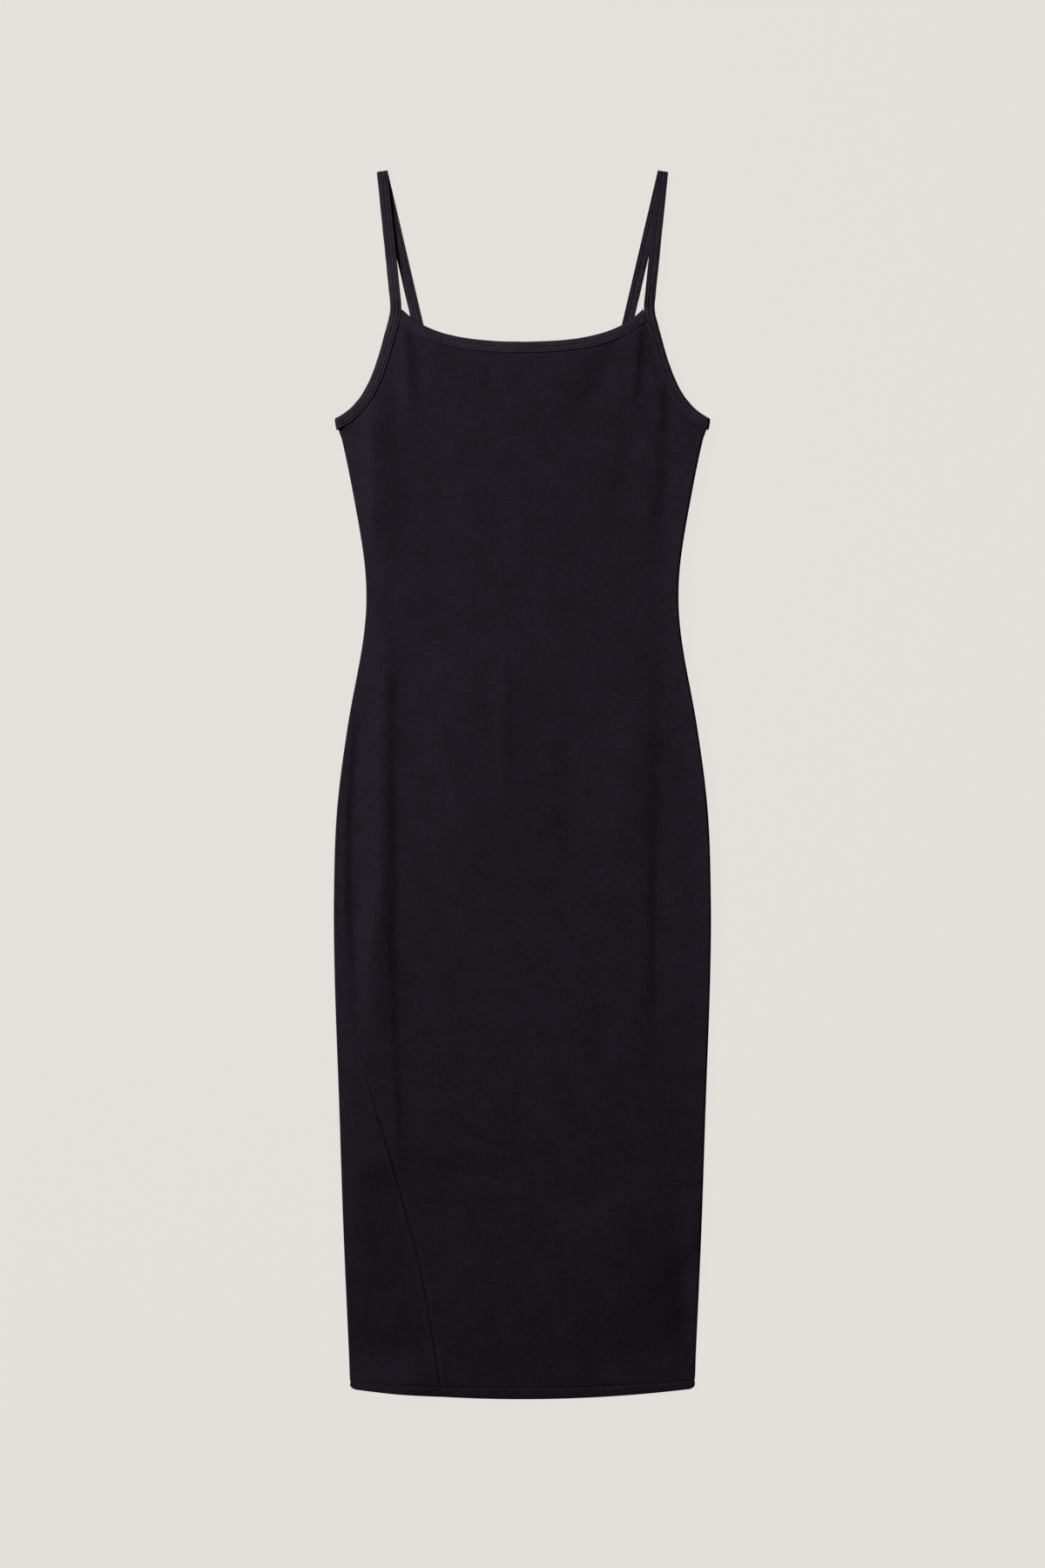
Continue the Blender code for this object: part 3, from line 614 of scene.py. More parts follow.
side_levels = np.concatenate(
    [
        [-0.5890, -0.5883, -0.5874, -0.5865, -0.5855],
        spaced(-0.5845, -0.5740, 0.8 * MM),
        spaced(-0.5725, -0.4000, 2.6 * MM),
        spaced(-0.3982, -0.3280, 1.7 * MM),
        spaced(-0.3260, 0.3380, 2.6 * MM),
        [0.3402, 0.3420],
    ]
)
near_underarm = [0.0, 0.005, 0.012, 0.02, 0.03, 0.04, 0.055]
armhole_shares = np.concatenate([near_underarm, np.linspace(0.075, 0.955, 38), [0.975, 0.99, 1.0]])
front_rows = laid_rows(FRONT_EDGE, FRONT_NECK, side_levels, armhole_shares)
NEAR_SEAM = [9.0, 6.6, 4.8, 3.6, 2.7, 2.0, 1.5, 1.1, 0.75, 0.45, 0.2, 0.0]
front_stops = column_shares(82, NEAR_SEAM)
left_end = seam_end(front_rows)
right_end = np.where(front_rows[:, 1] > 0, left_end, twisted_seam(front_rows[:, 0]) - twisted_gap(front_rows[:, 0]))
front_across = np.concatenate([-front_stops(right_end)[:, :0:-1], front_stops(left_end)], axis=1)


def whole_thirds(rows, across):
    """Drops rows and columns next to the middle until both counts are one more than a multiple of three."""
    spare_rows, spare_columns = (len(rows) - 1) % 3, (across.shape[1] - 1) % 3
    keep_rows = np.ones(len(rows), bool)
    keep_rows[len(rows) // 2 : len(rows) // 2 + spare_rows] = False
    keep_columns = np.ones(across.shape[1], bool)
    keep_columns[across.shape[1] // 2 + 3 : across.shape[1] // 2 + 3 + spare_columns] = False
    return rows[keep_rows], across[keep_rows][:, keep_columns]


def flat_cut(places):
    """Width, length and area of a panel's cloth laid open, from the grid of its places."""
    width, length = np.ptp(places[..., 0]), np.ptp(places[..., 1])
    along_rows = np.diff(places[..., 0], axis=1)
    rises = np.diff(places[..., 1], axis=0)
    area = np.abs((along_rows[:-1] + along_rows[1:]) / 2 * (rises[:, :-1] + rises[:, 1:]) / 2).sum()
    return (float(width), float(length)), float(area)


def panel(name, rows, across, neck, layer, lift_of):
    """Closed shell of a panel, with the size and area of its cloth. The back's outer face stays above the ground,
    and its columns are turned round so that its normals point out too."""
    rows, across = whole_thirds(rows, across)
    outer, places = panel_face(rows, neck, layer, across, CLOTH / 2, lift_of)
    inner, _ = panel_face(rows, neck, layer, across, -CLOTH / 2, lift_of)
    size, area = flat_cut(places)
    if layer < 0:
        outer[..., 2] = np.maximum(outer[..., 2], 0.0)
        outer, inner, places = outer[:, ::-1], inner[:, ::-1], places[:, ::-1]
    return close_shell(name, outer, inner, places), size, area


front_cloth, front_flat, front_area = panel("front_panel_cloth", front_rows, front_across, FRONT_NECK, 1, front_lift)


def socket(tree, name, kind, side="INPUT", value=None):
    made = tree.interface.new_socket(name=name, in_out=side, socket_type=kind)
    if value is not None:
        made.default_value = value
    return made


def node(tree, kind, **settings):
    """A new node, placed in columns of four in the order of making."""
    column, row = divmod(len(tree.nodes), 4)
    made = tree.nodes.new(kind)
    made.location = (260 * column, -240 * row)
    for key, value in settings.items():
        setattr(made, key, value)
    return made


def fill(made, **values):
    """Sets sockets that hold a plain value; a space in a socket's name is written as an underscore."""
    for key, value in values.items():
        made.inputs[key.replace("_", " ")].default_value = value


def join(tree, *links):
    """Links of a tree, each a row of: from node, its output, to node, its input."""
    for start, output, end, entry in links:
        tree.links.new(start.outputs[output], end.inputs[entry])


def plain_finish(name):
    """A new material, its tree and its shader."""
    made = bpy.data.materials.new(name)
    made.use_nodes = True
    return made, made.node_tree, made.node_tree.nodes["Principled BSDF"]


def math_node(tree, operation, a, b=None, c=None):
    made = node(tree, "ShaderNodeMath", operation=operation)
    for slot_number, value in enumerate((a, b, c)):
        if value is None:
            continue
        if isinstance(value, (int, float)):
            made.inputs[slot_number].default_value = value
        else:
            tree.links.new(value, made.inputs[slot_number])
    return made.outputs[0]


def jersey_group():
    """Shader group of the knit: columns of small vees, streaks where the yarn changes, and a slow cloudiness. The vees
    raise the bump, and they also lighten the colour on the loops and darken it between the wales: painted shade of that
    relief.
    """
    tree = bpy.data.node_groups.new("jersey knit", "ShaderNodeTree")
    socket(tree, "Lay", "NodeSocketVector")
    socket(tree, "Colour", "NodeSocketColor", value=(0.01, 0.01, 0.01, 1.0))
    for name, value in (("Wale", 0.0010), ("Course", 0.0008), ("Streaks", 0.2), ("Clouds", 0.1)):
        socket(tree, name, "NodeSocketFloat", value=value)
    for name, kind in (("Colour", "Color"), ("Roughness", "Float"), ("Height", "Float")):
        socket(tree, name, "NodeSocket" + kind, side="OUTPUT")
    into = node(tree, "NodeGroupInput")
    out = node(tree, "NodeGroupOutput")
    place = node(tree, "ShaderNodeSeparateXYZ")
    across = math_node(tree, "DIVIDE", place.outputs["X"], into.outputs["Wale"])
    upward = math_node(tree, "DIVIDE", place.outputs["Y"], into.outputs["Course"])
    in_wale = math_node(tree, "PINGPONG", across, 0.5)
    tilt = math_node(tree, "MULTIPLY_ADD", in_wale, 1.3, upward)
    turn = math_node(tree, "MULTIPLY", tilt, 2 * math.pi)
    loop = math_node(tree, "COSINE", turn)
    rib = math_node(tree, "MULTIPLY", in_wale, math.pi)
    rib = math_node(tree, "SINE", rib)
    vee = math_node(tree, "MULTIPLY_ADD", loop, 0.22, 0.6)
    knit = math_node(tree, "MULTIPLY", vee, rib)
    streaks = []
    for scale in ((90.0, 700.0, 1.0), (700.0, 110.0, 1.0)):
        stretch = node(tree, "ShaderNodeMapping")
        streak = node(tree, "ShaderNodeTexNoise", noise_dimensions="2D")
        fill(stretch, Scale=scale)
        fill(streak, Scale=1.0, Detail=3.0, Roughness=0.65)
        join(tree, (into, "Lay", stretch, "Vector"), (stretch, 0, streak, "Vector"))
        streaks.append(streak.outputs[0])
    yarn = math_node(tree, "ADD", *streaks)
    cloud = node(tree, "ShaderNodeTexNoise", noise_dimensions="2D")
    fill(cloud, Scale=38.0, Detail=5.0, Roughness=0.62)
    streaks = math_node(tree, "SUBTRACT", yarn, 1.0)
    streaks = math_node(tree, "MULTIPLY", streaks, into.outputs["Streaks"])
    clouds = math_node(tree, "SUBTRACT", cloud.outputs[0], 0.5)
    clouds = math_node(tree, "MULTIPLY", clouds, into.outputs["Clouds"])
    shade = math_node(tree, "ADD", streaks, clouds)
    shade = math_node(tree, "ADD", shade, 0.86)
    # Painted shade: the knit also lightens the colour on its raised loops and darkens it in the gaps between the wales.
    shade = math_node(tree, "MULTIPLY_ADD", knit, 0.28, shade)
    tint = node(tree, "ShaderNodeVectorMath", operation="SCALE")
    tree.links.new(shade, tint.inputs["Scale"])
    rough = math_node(tree, "MULTIPLY_ADD", cloud.outputs[0], 0.10, 0.84)
    tree.links.new(rough, out.inputs["Roughness"])
    rise = math_node(tree, "MULTIPLY_ADD", yarn, 0.15, knit)
    tree.links.new(rise, out.inputs["Height"])
    join(
        tree,
        (into, "Lay", place, 0),
        (into, "Lay", cloud, "Vector"),
        (into, "Colour", tint, 0),
        (tint, 0, out, "Colour"),
    )
    return tree


knit_group = jersey_group()


def jersey(name, colour, wale, course, streaks, clouds, relief):
    """Matte jersey with the knit group. Values that are the same all over sit on the shader itself."""
    made, tree, shader = plain_finish(name)
    fill(shader, Metallic=0.0, IOR=1.45, Specular_IOR_Level=0.10, Sheen_Weight=0.03, Sheen_Roughness=0.45)
    fill(shader, Sheen_Tint=(0.55, 0.50, 0.66, 1.0))
    lay = node(tree, "ShaderNodeAttribute", attribute_name="lay")
    knit = node(tree, "ShaderNodeGroup", node_tree=knit_group)
    fill(knit, Colour=(*colour, 1.0), Wale=wale, Course=course, Streaks=streaks, Clouds=clouds)
    raised = node(tree, "ShaderNodeBump")
    fill(raised, Strength=relief, Distance=0.15 * MM)
    join(
        tree,
        (lay, "Vector", knit, "Lay"),
        (knit, "Colour", shader, "Base Color"),
        (knit, "Roughness", shader, "Roughness"),
        (knit, "Height", raised, "Height"),
        (raised, "Normal", shader, "Normal"),
    )
    return made


BLACK = (0.0107, 0.0088, 0.0141)
panel_jersey = jersey("black jersey", BLACK, wale=1.0 * MM, course=0.8 * MM, streaks=0.85, clouds=0.64, relief=0.5)
front_cloth.data.materials.append(panel_jersey)
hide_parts("front_panel")
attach(front_cloth, "root")

# ------------------------------------------------------------
# Back panel. The back is the same jersey, cut wider below the hip: on the right it runs round the side fold and
# forward to the twisted seam. It rests on the ground, and is lifted a little where its own bindings lie under it.


# Bank of the back along the twisted seam, in millimetres: rise, distance from the seam, half width
BANK = (0.50, 2.4, 2.2)
BANK_EDGE = (-0.27, 0.0, 0.7)  # it dips at the seam itself
BANK_PUCKER = 0.10
BANK_PITCH = 6.0 * MM


def insert_lift(across, y):
    """Small rises and dips of the back: the hem, the seams, and the fuller bank along the twisted seam."""
    over = np.abs(across) - side_seam(y)
    on_front = (across < 0) & (over > 0)
    from_seam = side_seam(y) - twisted_seam(y) - over
    low = ease(y, *SEAM_SINKS)
    full, edge = (rise * bump(from_seam - away * MM, width * MM) for rise, away, width in (BANK, BANK_EDGE))
    bank = full + low * edge + BANK_PUCKER * uneven(y, BANK_PITCH, 22) * bump(from_seam, PUCKER_WIDTH)
    lift = hem_lift(folded_across(across, y), y) + np.where(on_front, (0.5 + 0.5 * low) * bank * MM, 0.0)
    return lift - LEFT_SEAM_DIP * bump(np.where(across > 0, np.abs(over), 1.0), LEFT_SEAM_WIDTH)


back_rows = laid_rows(BACK_EDGE, BACK_NECK, side_levels, armhole_shares)
back_stops = column_shares(40, NEAR_SEAM)
back_end = seam_end(back_rows)
on_side = back_rows[:, 1] == 0
right_reach = np.where(on_side, side_seam(back_rows[:, 0]) - SEAM_GAP / 2, back_end)
past = side_seam(back_rows[:, 0]) - twisted_seam(back_rows[:, 0]) - twisted_gap(back_rows[:, 0]) + SEAM_GAP / 2
past = np.where(on_side, past, 0.0)
WRAP = np.array([0.7, 1.4, 2.1, 2.9, 3.8, 5.0]) * MM
wrapped = np.minimum(WRAP[None, :], past[:, None])
insert = np.maximum(past - WRAP[-1], 0.0)[:, None]
near_twisted = np.array([0.30, 0.24, 0.19, 0.145, 0.105, 0.075, 0.05, 0.03, 0.015, 0.0])
even_shares = np.linspace(0.0, 1.0, 31)[1:-1] * (1 - near_twisted[0])
insert_shares = np.concatenate([even_shares, 1 - near_twisted])[None, :]
forward = np.minimum(WRAP[-1], past)[:, None] + insert * insert_shares
right_columns = right_reach[:, None] + np.concatenate([wrapped, forward], axis=1)
right_side = np.concatenate([back_stops(right_reach)[:, 1:], right_columns], axis=1)
back_across = np.concatenate([-right_side[:, ::-1], back_stops(back_end)], axis=1)
back_cloth, back_flat, back_area = panel("back_panel_cloth", back_rows, back_across, BACK_NECK, -1, insert_lift)
back_cloth.data.materials.append(panel_jersey)
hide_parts("back_panel")
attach(back_cloth, "root")

# ------------------------------------------------------------
# Neck bindings. Each neckline is bound with a tape of the same jersey, folded over the raw edge and sewn down with
# two rows of stitches. Its ends run under the inner edges of the armhole strips.

PITCH = 2.5 * MM  # of the stitches
TAPE_STEP = 0.8 * MM  # between the sections of a tape
STITCH_ROWS = (7.15, 9.75)  # inset of the two rows from the folded edge, in millimetres

# Section of the tape over its folded edge, with a ridge under each row of stitches and a groove outside it: inset in
# millimetres, share of its half height
TAPE_SECTION = [
    (0.00, 0.00),
    (0.08, 0.34),
    (0.28, 0.58),
    (0.65, 0.74),
    (1.25, 0.85),
    (2.10, 0.96),
    (3.10, 1.03),
    (4.00, 1.01),
    (4.60, 0.90),
    (5.05, 0.73),
    (5.45, 0.64),
    (5.85, 0.69),
    (6.30, 0.83),
    (6.75, 0.92),
    (7.15, 0.95),
    (7.55, 0.89),
    (8.00, 0.71),
    (8.35, 0.61),
    (8.70, 0.65),
    (9.10, 0.77),
    (9.45, 0.83),
    (9.75, 0.83),
    (10.10, 0.76),
    (10.40, 0.65),
    (10.60, 0.47),
]


PLAIN_END = 4.6 * MM  # inset where the stitched part of the tape starts
PRESSED_PLAIN = 0.74  # most share of its half height over the plain part where an end is pressed smooth
PRESSED_STITCHED = 0.70  # and least over the stitched part
LEG_WALL = 0.25 * MM  # least cloth over the slot
STITCH_PULL = 0.12 * MM
STITCH_REACH = 0.7 * MM
PUFF = 0.10 * MM  # unevenness of the plain part
DENT = 0.42 * MM  # of the deepest dents next to the fold
EDGE_WAVER = 0.12 * MM  # of the folded edge, to either side


def tape_loops(s, half, slot, seed, spare, pressed):
    """Insets and lifts of the closed section at lengths s: over the fold, and back along the slot between the legs.
    Each stitch draws the tape down, and the cloth puckers between them. spare widens the plain part at the fold, and
    pressed is the length over which the ends are pressed smooth."""
    inset = np.array([row[0] for row in TAPE_SECTION]) * MM
    inset = inset + spare * ease(inset, 1.0 * MM, PLAIN_END)
    share = np.array([row[1] for row in TAPE_SECTION])
    half, slot, s = half[:, None], slot[:, None], s[:, None]
    smooth = ease(np.minimum(s - s[0], s[-1] - s), pressed, 0.25 * pressed) if pressed else 0.0 * s
    share = share[None, :] + (np.minimum(share, PRESSED_PLAIN) - share)[None, :] * smooth
    filled = share + (np.maximum(share, PRESSED_STITCHED) - share) * smooth
    share = np.where(inset[None, :] > PLAIN_END, filled, share)
    share[:, -1] = TAPE_SECTION[-1][1]
    puckers = np.zeros((len(s), len(inset)))
    for k, row in enumerate(STITCH_ROWS):
        beside = bump(inset - spare - row * MM, STITCH_REACH)[None, :]
        puckers -= STITCH_PULL * beside * (0.5 + 0.5 * np.cos(2 * math.pi * (s / PITCH + 0.5 * k)))
    puckers += PUFF * bump(inset - 3.2 * MM, 1.8 * MM)[None, :] * (uneven(s, 3.1 * MM, seed) - 1.0)
    dented = bump(inset - 1.6 * MM - 1.2 * MM * uneven(s, 23 * MM, seed + 2), 0.9 * MM)
    puckers -= DENT * dented * np.maximum(0.0, uneven(s, 11 * MM, seed + 3))
    waver = EDGE_WAVER * bump(inset, 1.2 * MM)[None, :] * uneven(s, 6.5 * MM, seed + 1)
    top = np.maximum(share * half + puckers * (1.0 - smooth) * np.minimum(1.0, 2 * share), 0.0)
    top = np.where(share > 0.6, np.maximum(top, slot + LEG_WALL), top)
    inner = np.array([inset[-1] - 0.1 * MM, 0.6 * TAPE_WIDTH, TAPE_WALL])
    insets = np.concatenate([inset[::-1], inset[1:], inner, inner[::-1]])[None, :]
    insets = insets + np.concatenate([waver[:, ::-1], waver[:, 1:], np.zeros((len(s), 6))], axis=1)
    slots = np.broadcast_to(slot, (len(s), 3))
    lifts = np.concatenate([-top[:, ::-1], top[:, 1:], slots, -slots], axis=1)
    return insets, lifts


STITCH_RISE = 0.08 * MM  # the stitches' middle lies this far out of the tape
STITCH_REST = 0.31 * MM  # and at least this high, pressed into the cloth where it rests
UNSTITCHED = 3  # sections at each end of a strip, hidden in its seam


def tape(name, edge, step, half_of, place, cuts, seed, spare, pressed):
    """Folded tape along an edge, one closed shell. cuts holds, for its start and end, the region that it stays in
    and where to look. Its last result is the size of the cut tape, laid open."""
    ease_off = 30 * MM  # a slanting cut shifts the sections this far along
    base = [edge.crossing(inside, 0.0, low, high) for inside, low, high in cuts]
    s = spaced(base[0], base[1], step)
    half, slot = half_of(s)
    insets, lifts = tape_loops(s, half, slot, seed, spare, pressed)
    shift = np.zeros_like(insets)
    steps = np.linspace(0.0, TAPE_WIDTH + spare, 9)
    for (inside, low, high), at in zip(cuts, base):
        cut = np.array([edge.crossing(inside, i, low, high) for i in steps]) - at
        near = np.maximum(0.0, 1.0 - np.abs(s - at) / ease_off)[:, None]
        shift += near * np.interp(insets, steps, cut)
    points = place(edge.at(s[:, None] + shift, insets), lifts, np.broadcast_to(s[:, None], insets.shape))
    size = points.shape[1]
    ring = np.arange(len(s) * size).reshape(len(s), size)
    after = np.roll(ring, -1, axis=1)
    faces = np.stack([ring[:-1], after[:-1], after[1:], ring[1:]], axis=-1).reshape(-1, 4).tolist()
    top = len(TAPE_SECTION)
    faces += end_caps(ring[0], top) + end_caps(ring[-1], top)
    flat = np.stack([insets, s[:, None] + shift, np.zeros_like(insets)], axis=-1)
    seams = []
    for row in STITCH_ROWS:
        k = [entry[0] for entry in TAPE_SECTION].index(row)
        for leg, slot_point in ((top - 1 + k, 2 * top), (top - 1 - k, 2 * top + 3)):
            out = points[:, leg] - points[:, slot_point]
            out /= np.linalg.norm(out, axis=1)[:, None]
            seam = points[:, leg] + out * STITCH_RISE
            seam[:, 2] = np.maximum(seam[:, 2], STITCH_REST)
            seams.append(seam[UNSTITCHED:-UNSTITCHED] if pressed else seam)
    cut = (2 * (TAPE_WIDTH + spare), float(s[-1] - s[0]))
    return cloth_object(name, points.reshape(-1, 3), faces, flat.reshape(-1, 3)), seams, cut


def end_caps(ring, top):
    """Faces that close the two legs of a tape where it is cut, split at the wall between them."""
    lower = ring[:top].tolist()
    upper = ring[top - 1 : 2 * top - 1].tolist()
    slot_top = ring[2 * top - 1 : 2 * top + 2].tolist()
    slot_bottom = ring[2 * top + 2 : 2 * top + 5].tolist()
    bend_at = next(k for k, row in enumerate(TAPE_SECTION) if row[0] * MM > TAPE_WALL)
    nose = lower[top - 1 - bend_at :] + upper[1 : bend_at + 1] + [slot_top[2], slot_bottom[0]]
    upper_leg = upper[bend_at:] + slot_top
    lower_leg = slot_bottom + lower[: top - bend_at]
    return [nose, upper_leg, lower_leg]


def neck_binding(name, layer, edge, armhole, seed):
    """Binding of one neckline: its ends are cut along the inner edges of the two strips."""

    def clear_of_strips(point):
        return armhole.distance(np.abs(point[None, 0]), point[None, 1])[0] > TAPE_WIDTH + 1.5 * SEAM_GAP

    def place(points, lift, s):
        x, y = points[..., 0], points[..., 1]
        return np.stack([x, y, height(layer, x, y) + layer * lift], axis=-1)

    def half_of(s):
        return np.full(len(s), TAPE_HALF), np.full(len(s), TAPE_HALF - TAPE_WALL)

    middle = edge.length / 2
    cuts = [(clear_of_strips, middle, 0.0), (clear_of_strips, middle, edge.length)]
    return tape(name, edge, TAPE_STEP, half_of, place, cuts, seed, spare=0.5 * MM, pressed=0.0)


def outward(piece):
    """Turns a closed mesh so that its normals point out, and merges its doubles."""
    bm = bmesh.new()
    bm.from_mesh(piece.data)
    bmesh.ops.remove_doubles(bm, verts=bm.verts, dist=0.002 * MM)
    bmesh.ops.recalc_face_normals(bm, faces=bm.faces)
    bm.to_mesh(piece.data)
    bm.free()


# The bindings' colour is a lighter copy of the panels' black jersey: painted light, standing in for the light that the
# tape's ribs and stitches catch.
BINDING_BLACK_PAINTED_LIGHTER = (0.0176, 0.0149, 0.0223)
binding_jersey_painted_lighter = jersey(
    "binding jersey painted lighter", BINDING_BLACK_PAINTED_LIGHTER, wale=0.9 * MM, course=1.0 * MM, streaks=1.00, clouds=0.70, relief=0.8
)
neck_seams = []
for name, layer, edge, armhole, seed in (
    ("front_neck_binding", 1, FRONT_NECK_EDGE, FRONT_EDGE, 31),
    ("back_neck_binding", -1, BACK_NECK_EDGE, BACK_EDGE, 33),
):
    binding, seams, cut = neck_binding(name + "_tape", layer, edge, armhole, seed)
    neck_seams += seams
    outward(binding)
    binding.data.materials.append(binding_jersey_painted_lighter)
    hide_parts(name)
    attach(binding, "root")

# ------------------------------------------------------------
# Armhole strips. Each is one length of the same tape: it binds the front armhole, runs on alone as the strap, turns
# over at the shoulder and comes down to bind the back armhole. Both its rows of stitches run its whole length.

STRAP_OPENS = (0.4700, 0.4830)  # the strip thins from binding to strap between these heights
BACK_STRAP_OPENS = (0.4080, 0.4210)


def strip_lay():
    """The unfolded edge of a strip, and the functions that fold its far half back under the shoulder."""
    shoulder = np.array(SHOULDER)
    up_front = FRONT_EDGE.points[-1] - FRONT_EDGE.points[-2]
    down_back = BACK_EDGE.points[-2] - BACK_EDGE.points[-1]
    fold_line = up_front / np.hypot(*up_front) + down_back / np.hypot(*down_back)
    fold_line /= np.hypot(*fold_line)
    over = np.array([fold_line[1], -fold_line[0]])
    half_turn = math.pi * SHOULDER_FOLD
    back = BACK_EDGE.points[::-1]
    unfolded = back - 2 * ((back - shoulder) @ over)[:, None] * over + half_turn * over
    edge = Edge(np.concatenate([FRONT_EDGE.points, unfolded]))

    def laid(points):
        """How far points are past the fold line, and where they lie once folded."""
        past_fold = (points - shoulder) @ over
        back_run = points - half_turn * over
        mirrored = back_run - 2 * ((back_run - shoulder) @ over)[..., None] * over
        turning = points - past_fold[..., None] * over
        folded = np.where((past_fold >= half_turn)[..., None], mirrored, turning)
        return past_fold, np.where((past_fold <= 0)[..., None], points, folded)

    return edge, over, half_turn, laid


strip_edge, strip_over, strip_half_turn, strip_laid = strip_lay()


def strip_thinning(s):
    """0 where a strip holds a panel between its legs, and 1 where it is a bare strap."""
    past_fold, point = strip_laid(strip_edge.at(s))
    front = ease(point[..., 1], *STRAP_OPENS)
    back = ease(point[..., 1], *BACK_STRAP_OPENS)
    return np.where(past_fold <= 0, front, np.where(past_fold >= strip_half_turn, back, 1.0))


def strip_half(s):
    thin = strip_thinning(s)
    half = TAPE_HALF + (STRAP_HALF - TAPE_HALF) * thin
    return half, half - TAPE_WALL


def strip_place(side):
    def place(points, lift, s):
        past_fold, flat = strip_laid(points)
        half = flat_half(flat[..., 1])
        front = tube(1, side * flat[..., 0], flat[..., 1], lift, half)
        back = tube(-1, side * flat[..., 0], flat[..., 1], lift, half)
        back[..., 2] -= (TAPE_HALF - STRAP_HALF) * strip_thinning(s)
        turn = np.clip(past_fold / SHOULDER_FOLD, 0.0, math.pi)
        reach = flat + ((SHOULDER_FOLD + lift) * np.sin(turn))[..., None] * strip_over
        rise = STRAP_HALF + SHOULDER_FOLD + (SHOULDER_FOLD + lift) * np.cos(turn)
        over_shoulder = np.concatenate([reach * np.array([side, 1]), rise[..., None]], axis=-1)
        placed = np.where((past_fold <= 0)[..., None], front, over_shoulder)
        return np.where((past_fold >= strip_half_turn)[..., None], back, placed)

    return place


def strip_cuts():
    def on_front(point):
        return point[0] <= side_seam(point[1]) - SEAM_GAP / 2

    def on_back(point):
        flat = strip_laid(point)[1]
        return flat[0] <= side_seam(flat[1]) - SEAM_GAP / 2

    length = strip_edge.length
    return [(on_front, 0.08, -0.02), (on_back, length - 0.06, length + 0.02)]


strip_seams = []
STRIP_PRESSED = 6.0 * MM  # the strips' ends are pressed smooth over this length
for name, side, seed, spare in (("left_armhole_strap", 1, 41, 0.0), ("right_armhole_strap", -1, 43, 0.3 * MM)):
    place = strip_place(side)
    strip, seams, cut = tape(
        name + "_tape", strip_edge, TAPE_STEP, strip_half, place, strip_cuts(), seed, spare, STRIP_PRESSED
    )
    strip_seams += seams
    outward(strip)
    strip.data.materials.append(binding_jersey_painted_lighter)
    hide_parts(name)
    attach(strip, "root")

# ------------------------------------------------------------
# Stitching. Spun polyester thread: two rows show on both faces of every binding and strap, and one row holds up the
# hem all round. Each stitch is a short raised float of thread.


def stitch_tree():
    """Geometry Nodes that lay a stitch of thread at every pitch along each path."""
    tree = bpy.data.node_groups.new("row of stitches", "GeometryNodeTree")
    for name, kind, value in (
        ("Paths", "Geometry", None),
        ("Pitch", "Float", PITCH),
        ("Length", "Float", 2.6 * MM),
        ("Thread", "Float", 0.5 * MM),
        ("Unevenness", "Float", 0.12),
        ("Seed", "Int", 3),
        ("Finish", "Material", None),
    ):
        socket(tree, name, "NodeSocket" + kind, value=value)
    socket(tree, "Stitches", "NodeSocketGeometry", side="OUTPUT")
    into = node(tree, "NodeGroupInput")
    out = node(tree, "NodeGroupOutput")
    curves = node(tree, "GeometryNodeMeshToCurve")
    evenly = node(tree, "GeometryNodeResampleCurve", mode="LENGTH")
    points = node(tree, "GeometryNodeCurveToPoints", mode="EVALUATED")
    bead = node(tree, "GeometryNodeMeshUVSphere")
    fill(bead, Segments=6, Rings=5, Radius=0.5)
    low = node(tree, "ShaderNodeMath", operation="SUBTRACT")
    high = node(tree, "ShaderNodeMath", operation="ADD")
    low.inputs[0].default_value = high.inputs[0].default_value = 1.0
    chance = node(tree, "FunctionNodeRandomValue", data_type="FLOAT")
    size = node(tree, "ShaderNodeCombineXYZ")
    scale = node(tree, "ShaderNodeVectorMath", operation="SCALE")
    place = node(tree, "GeometryNodeInstanceOnPoints")
    real = node(tree, "GeometryNodeRealizeInstances")
    smooth = node(tree, "GeometryNodeSetShadeSmooth")
    finish = node(tree, "GeometryNodeSetMaterial")
    join(
        tree,
        (into, "Paths", curves, "Mesh"),
        (curves, "Curve", evenly, "Curve"),
        (into, "Pitch", evenly, "Length"),
        (evenly, "Curve", points, "Curve"),
        (points, "Points", place, "Points"),
        (points, "Rotation", place, "Rotation"),
        (bead, "Mesh", place, "Instance"),
        (into, "Unevenness", low, 1),
        (into, "Unevenness", high, 1),
        (low, 0, chance, "Min"),
        (high, 0, chance, "Max"),
        (into, "Seed", chance, "Seed"),
        (into, "Thread", size, "X"),
        (into, "Thread", size, "Y"),
        (into, "Length", size, "Z"),
        (size, 0, scale, 0),
        (chance, "Value", scale, "Scale"),
        (scale, 0, place, "Scale"),
        (place, "Instances", real, "Geometry"),
        (real, "Geometry", smooth, "Geometry"),
        (smooth, "Geometry", finish, "Geometry"),
        (into, "Finish", finish, "Material"),
        (finish, "Geometry", out, "Stitches"),
    )
    return tree


def blend(tree, low, high):
    """A node that runs from one colour to another."""
    made = node(tree, "ShaderNodeMix", data_type="RGBA")
    fill(made, A=(*low, 1.0), B=(*high, 1.0))
    return made


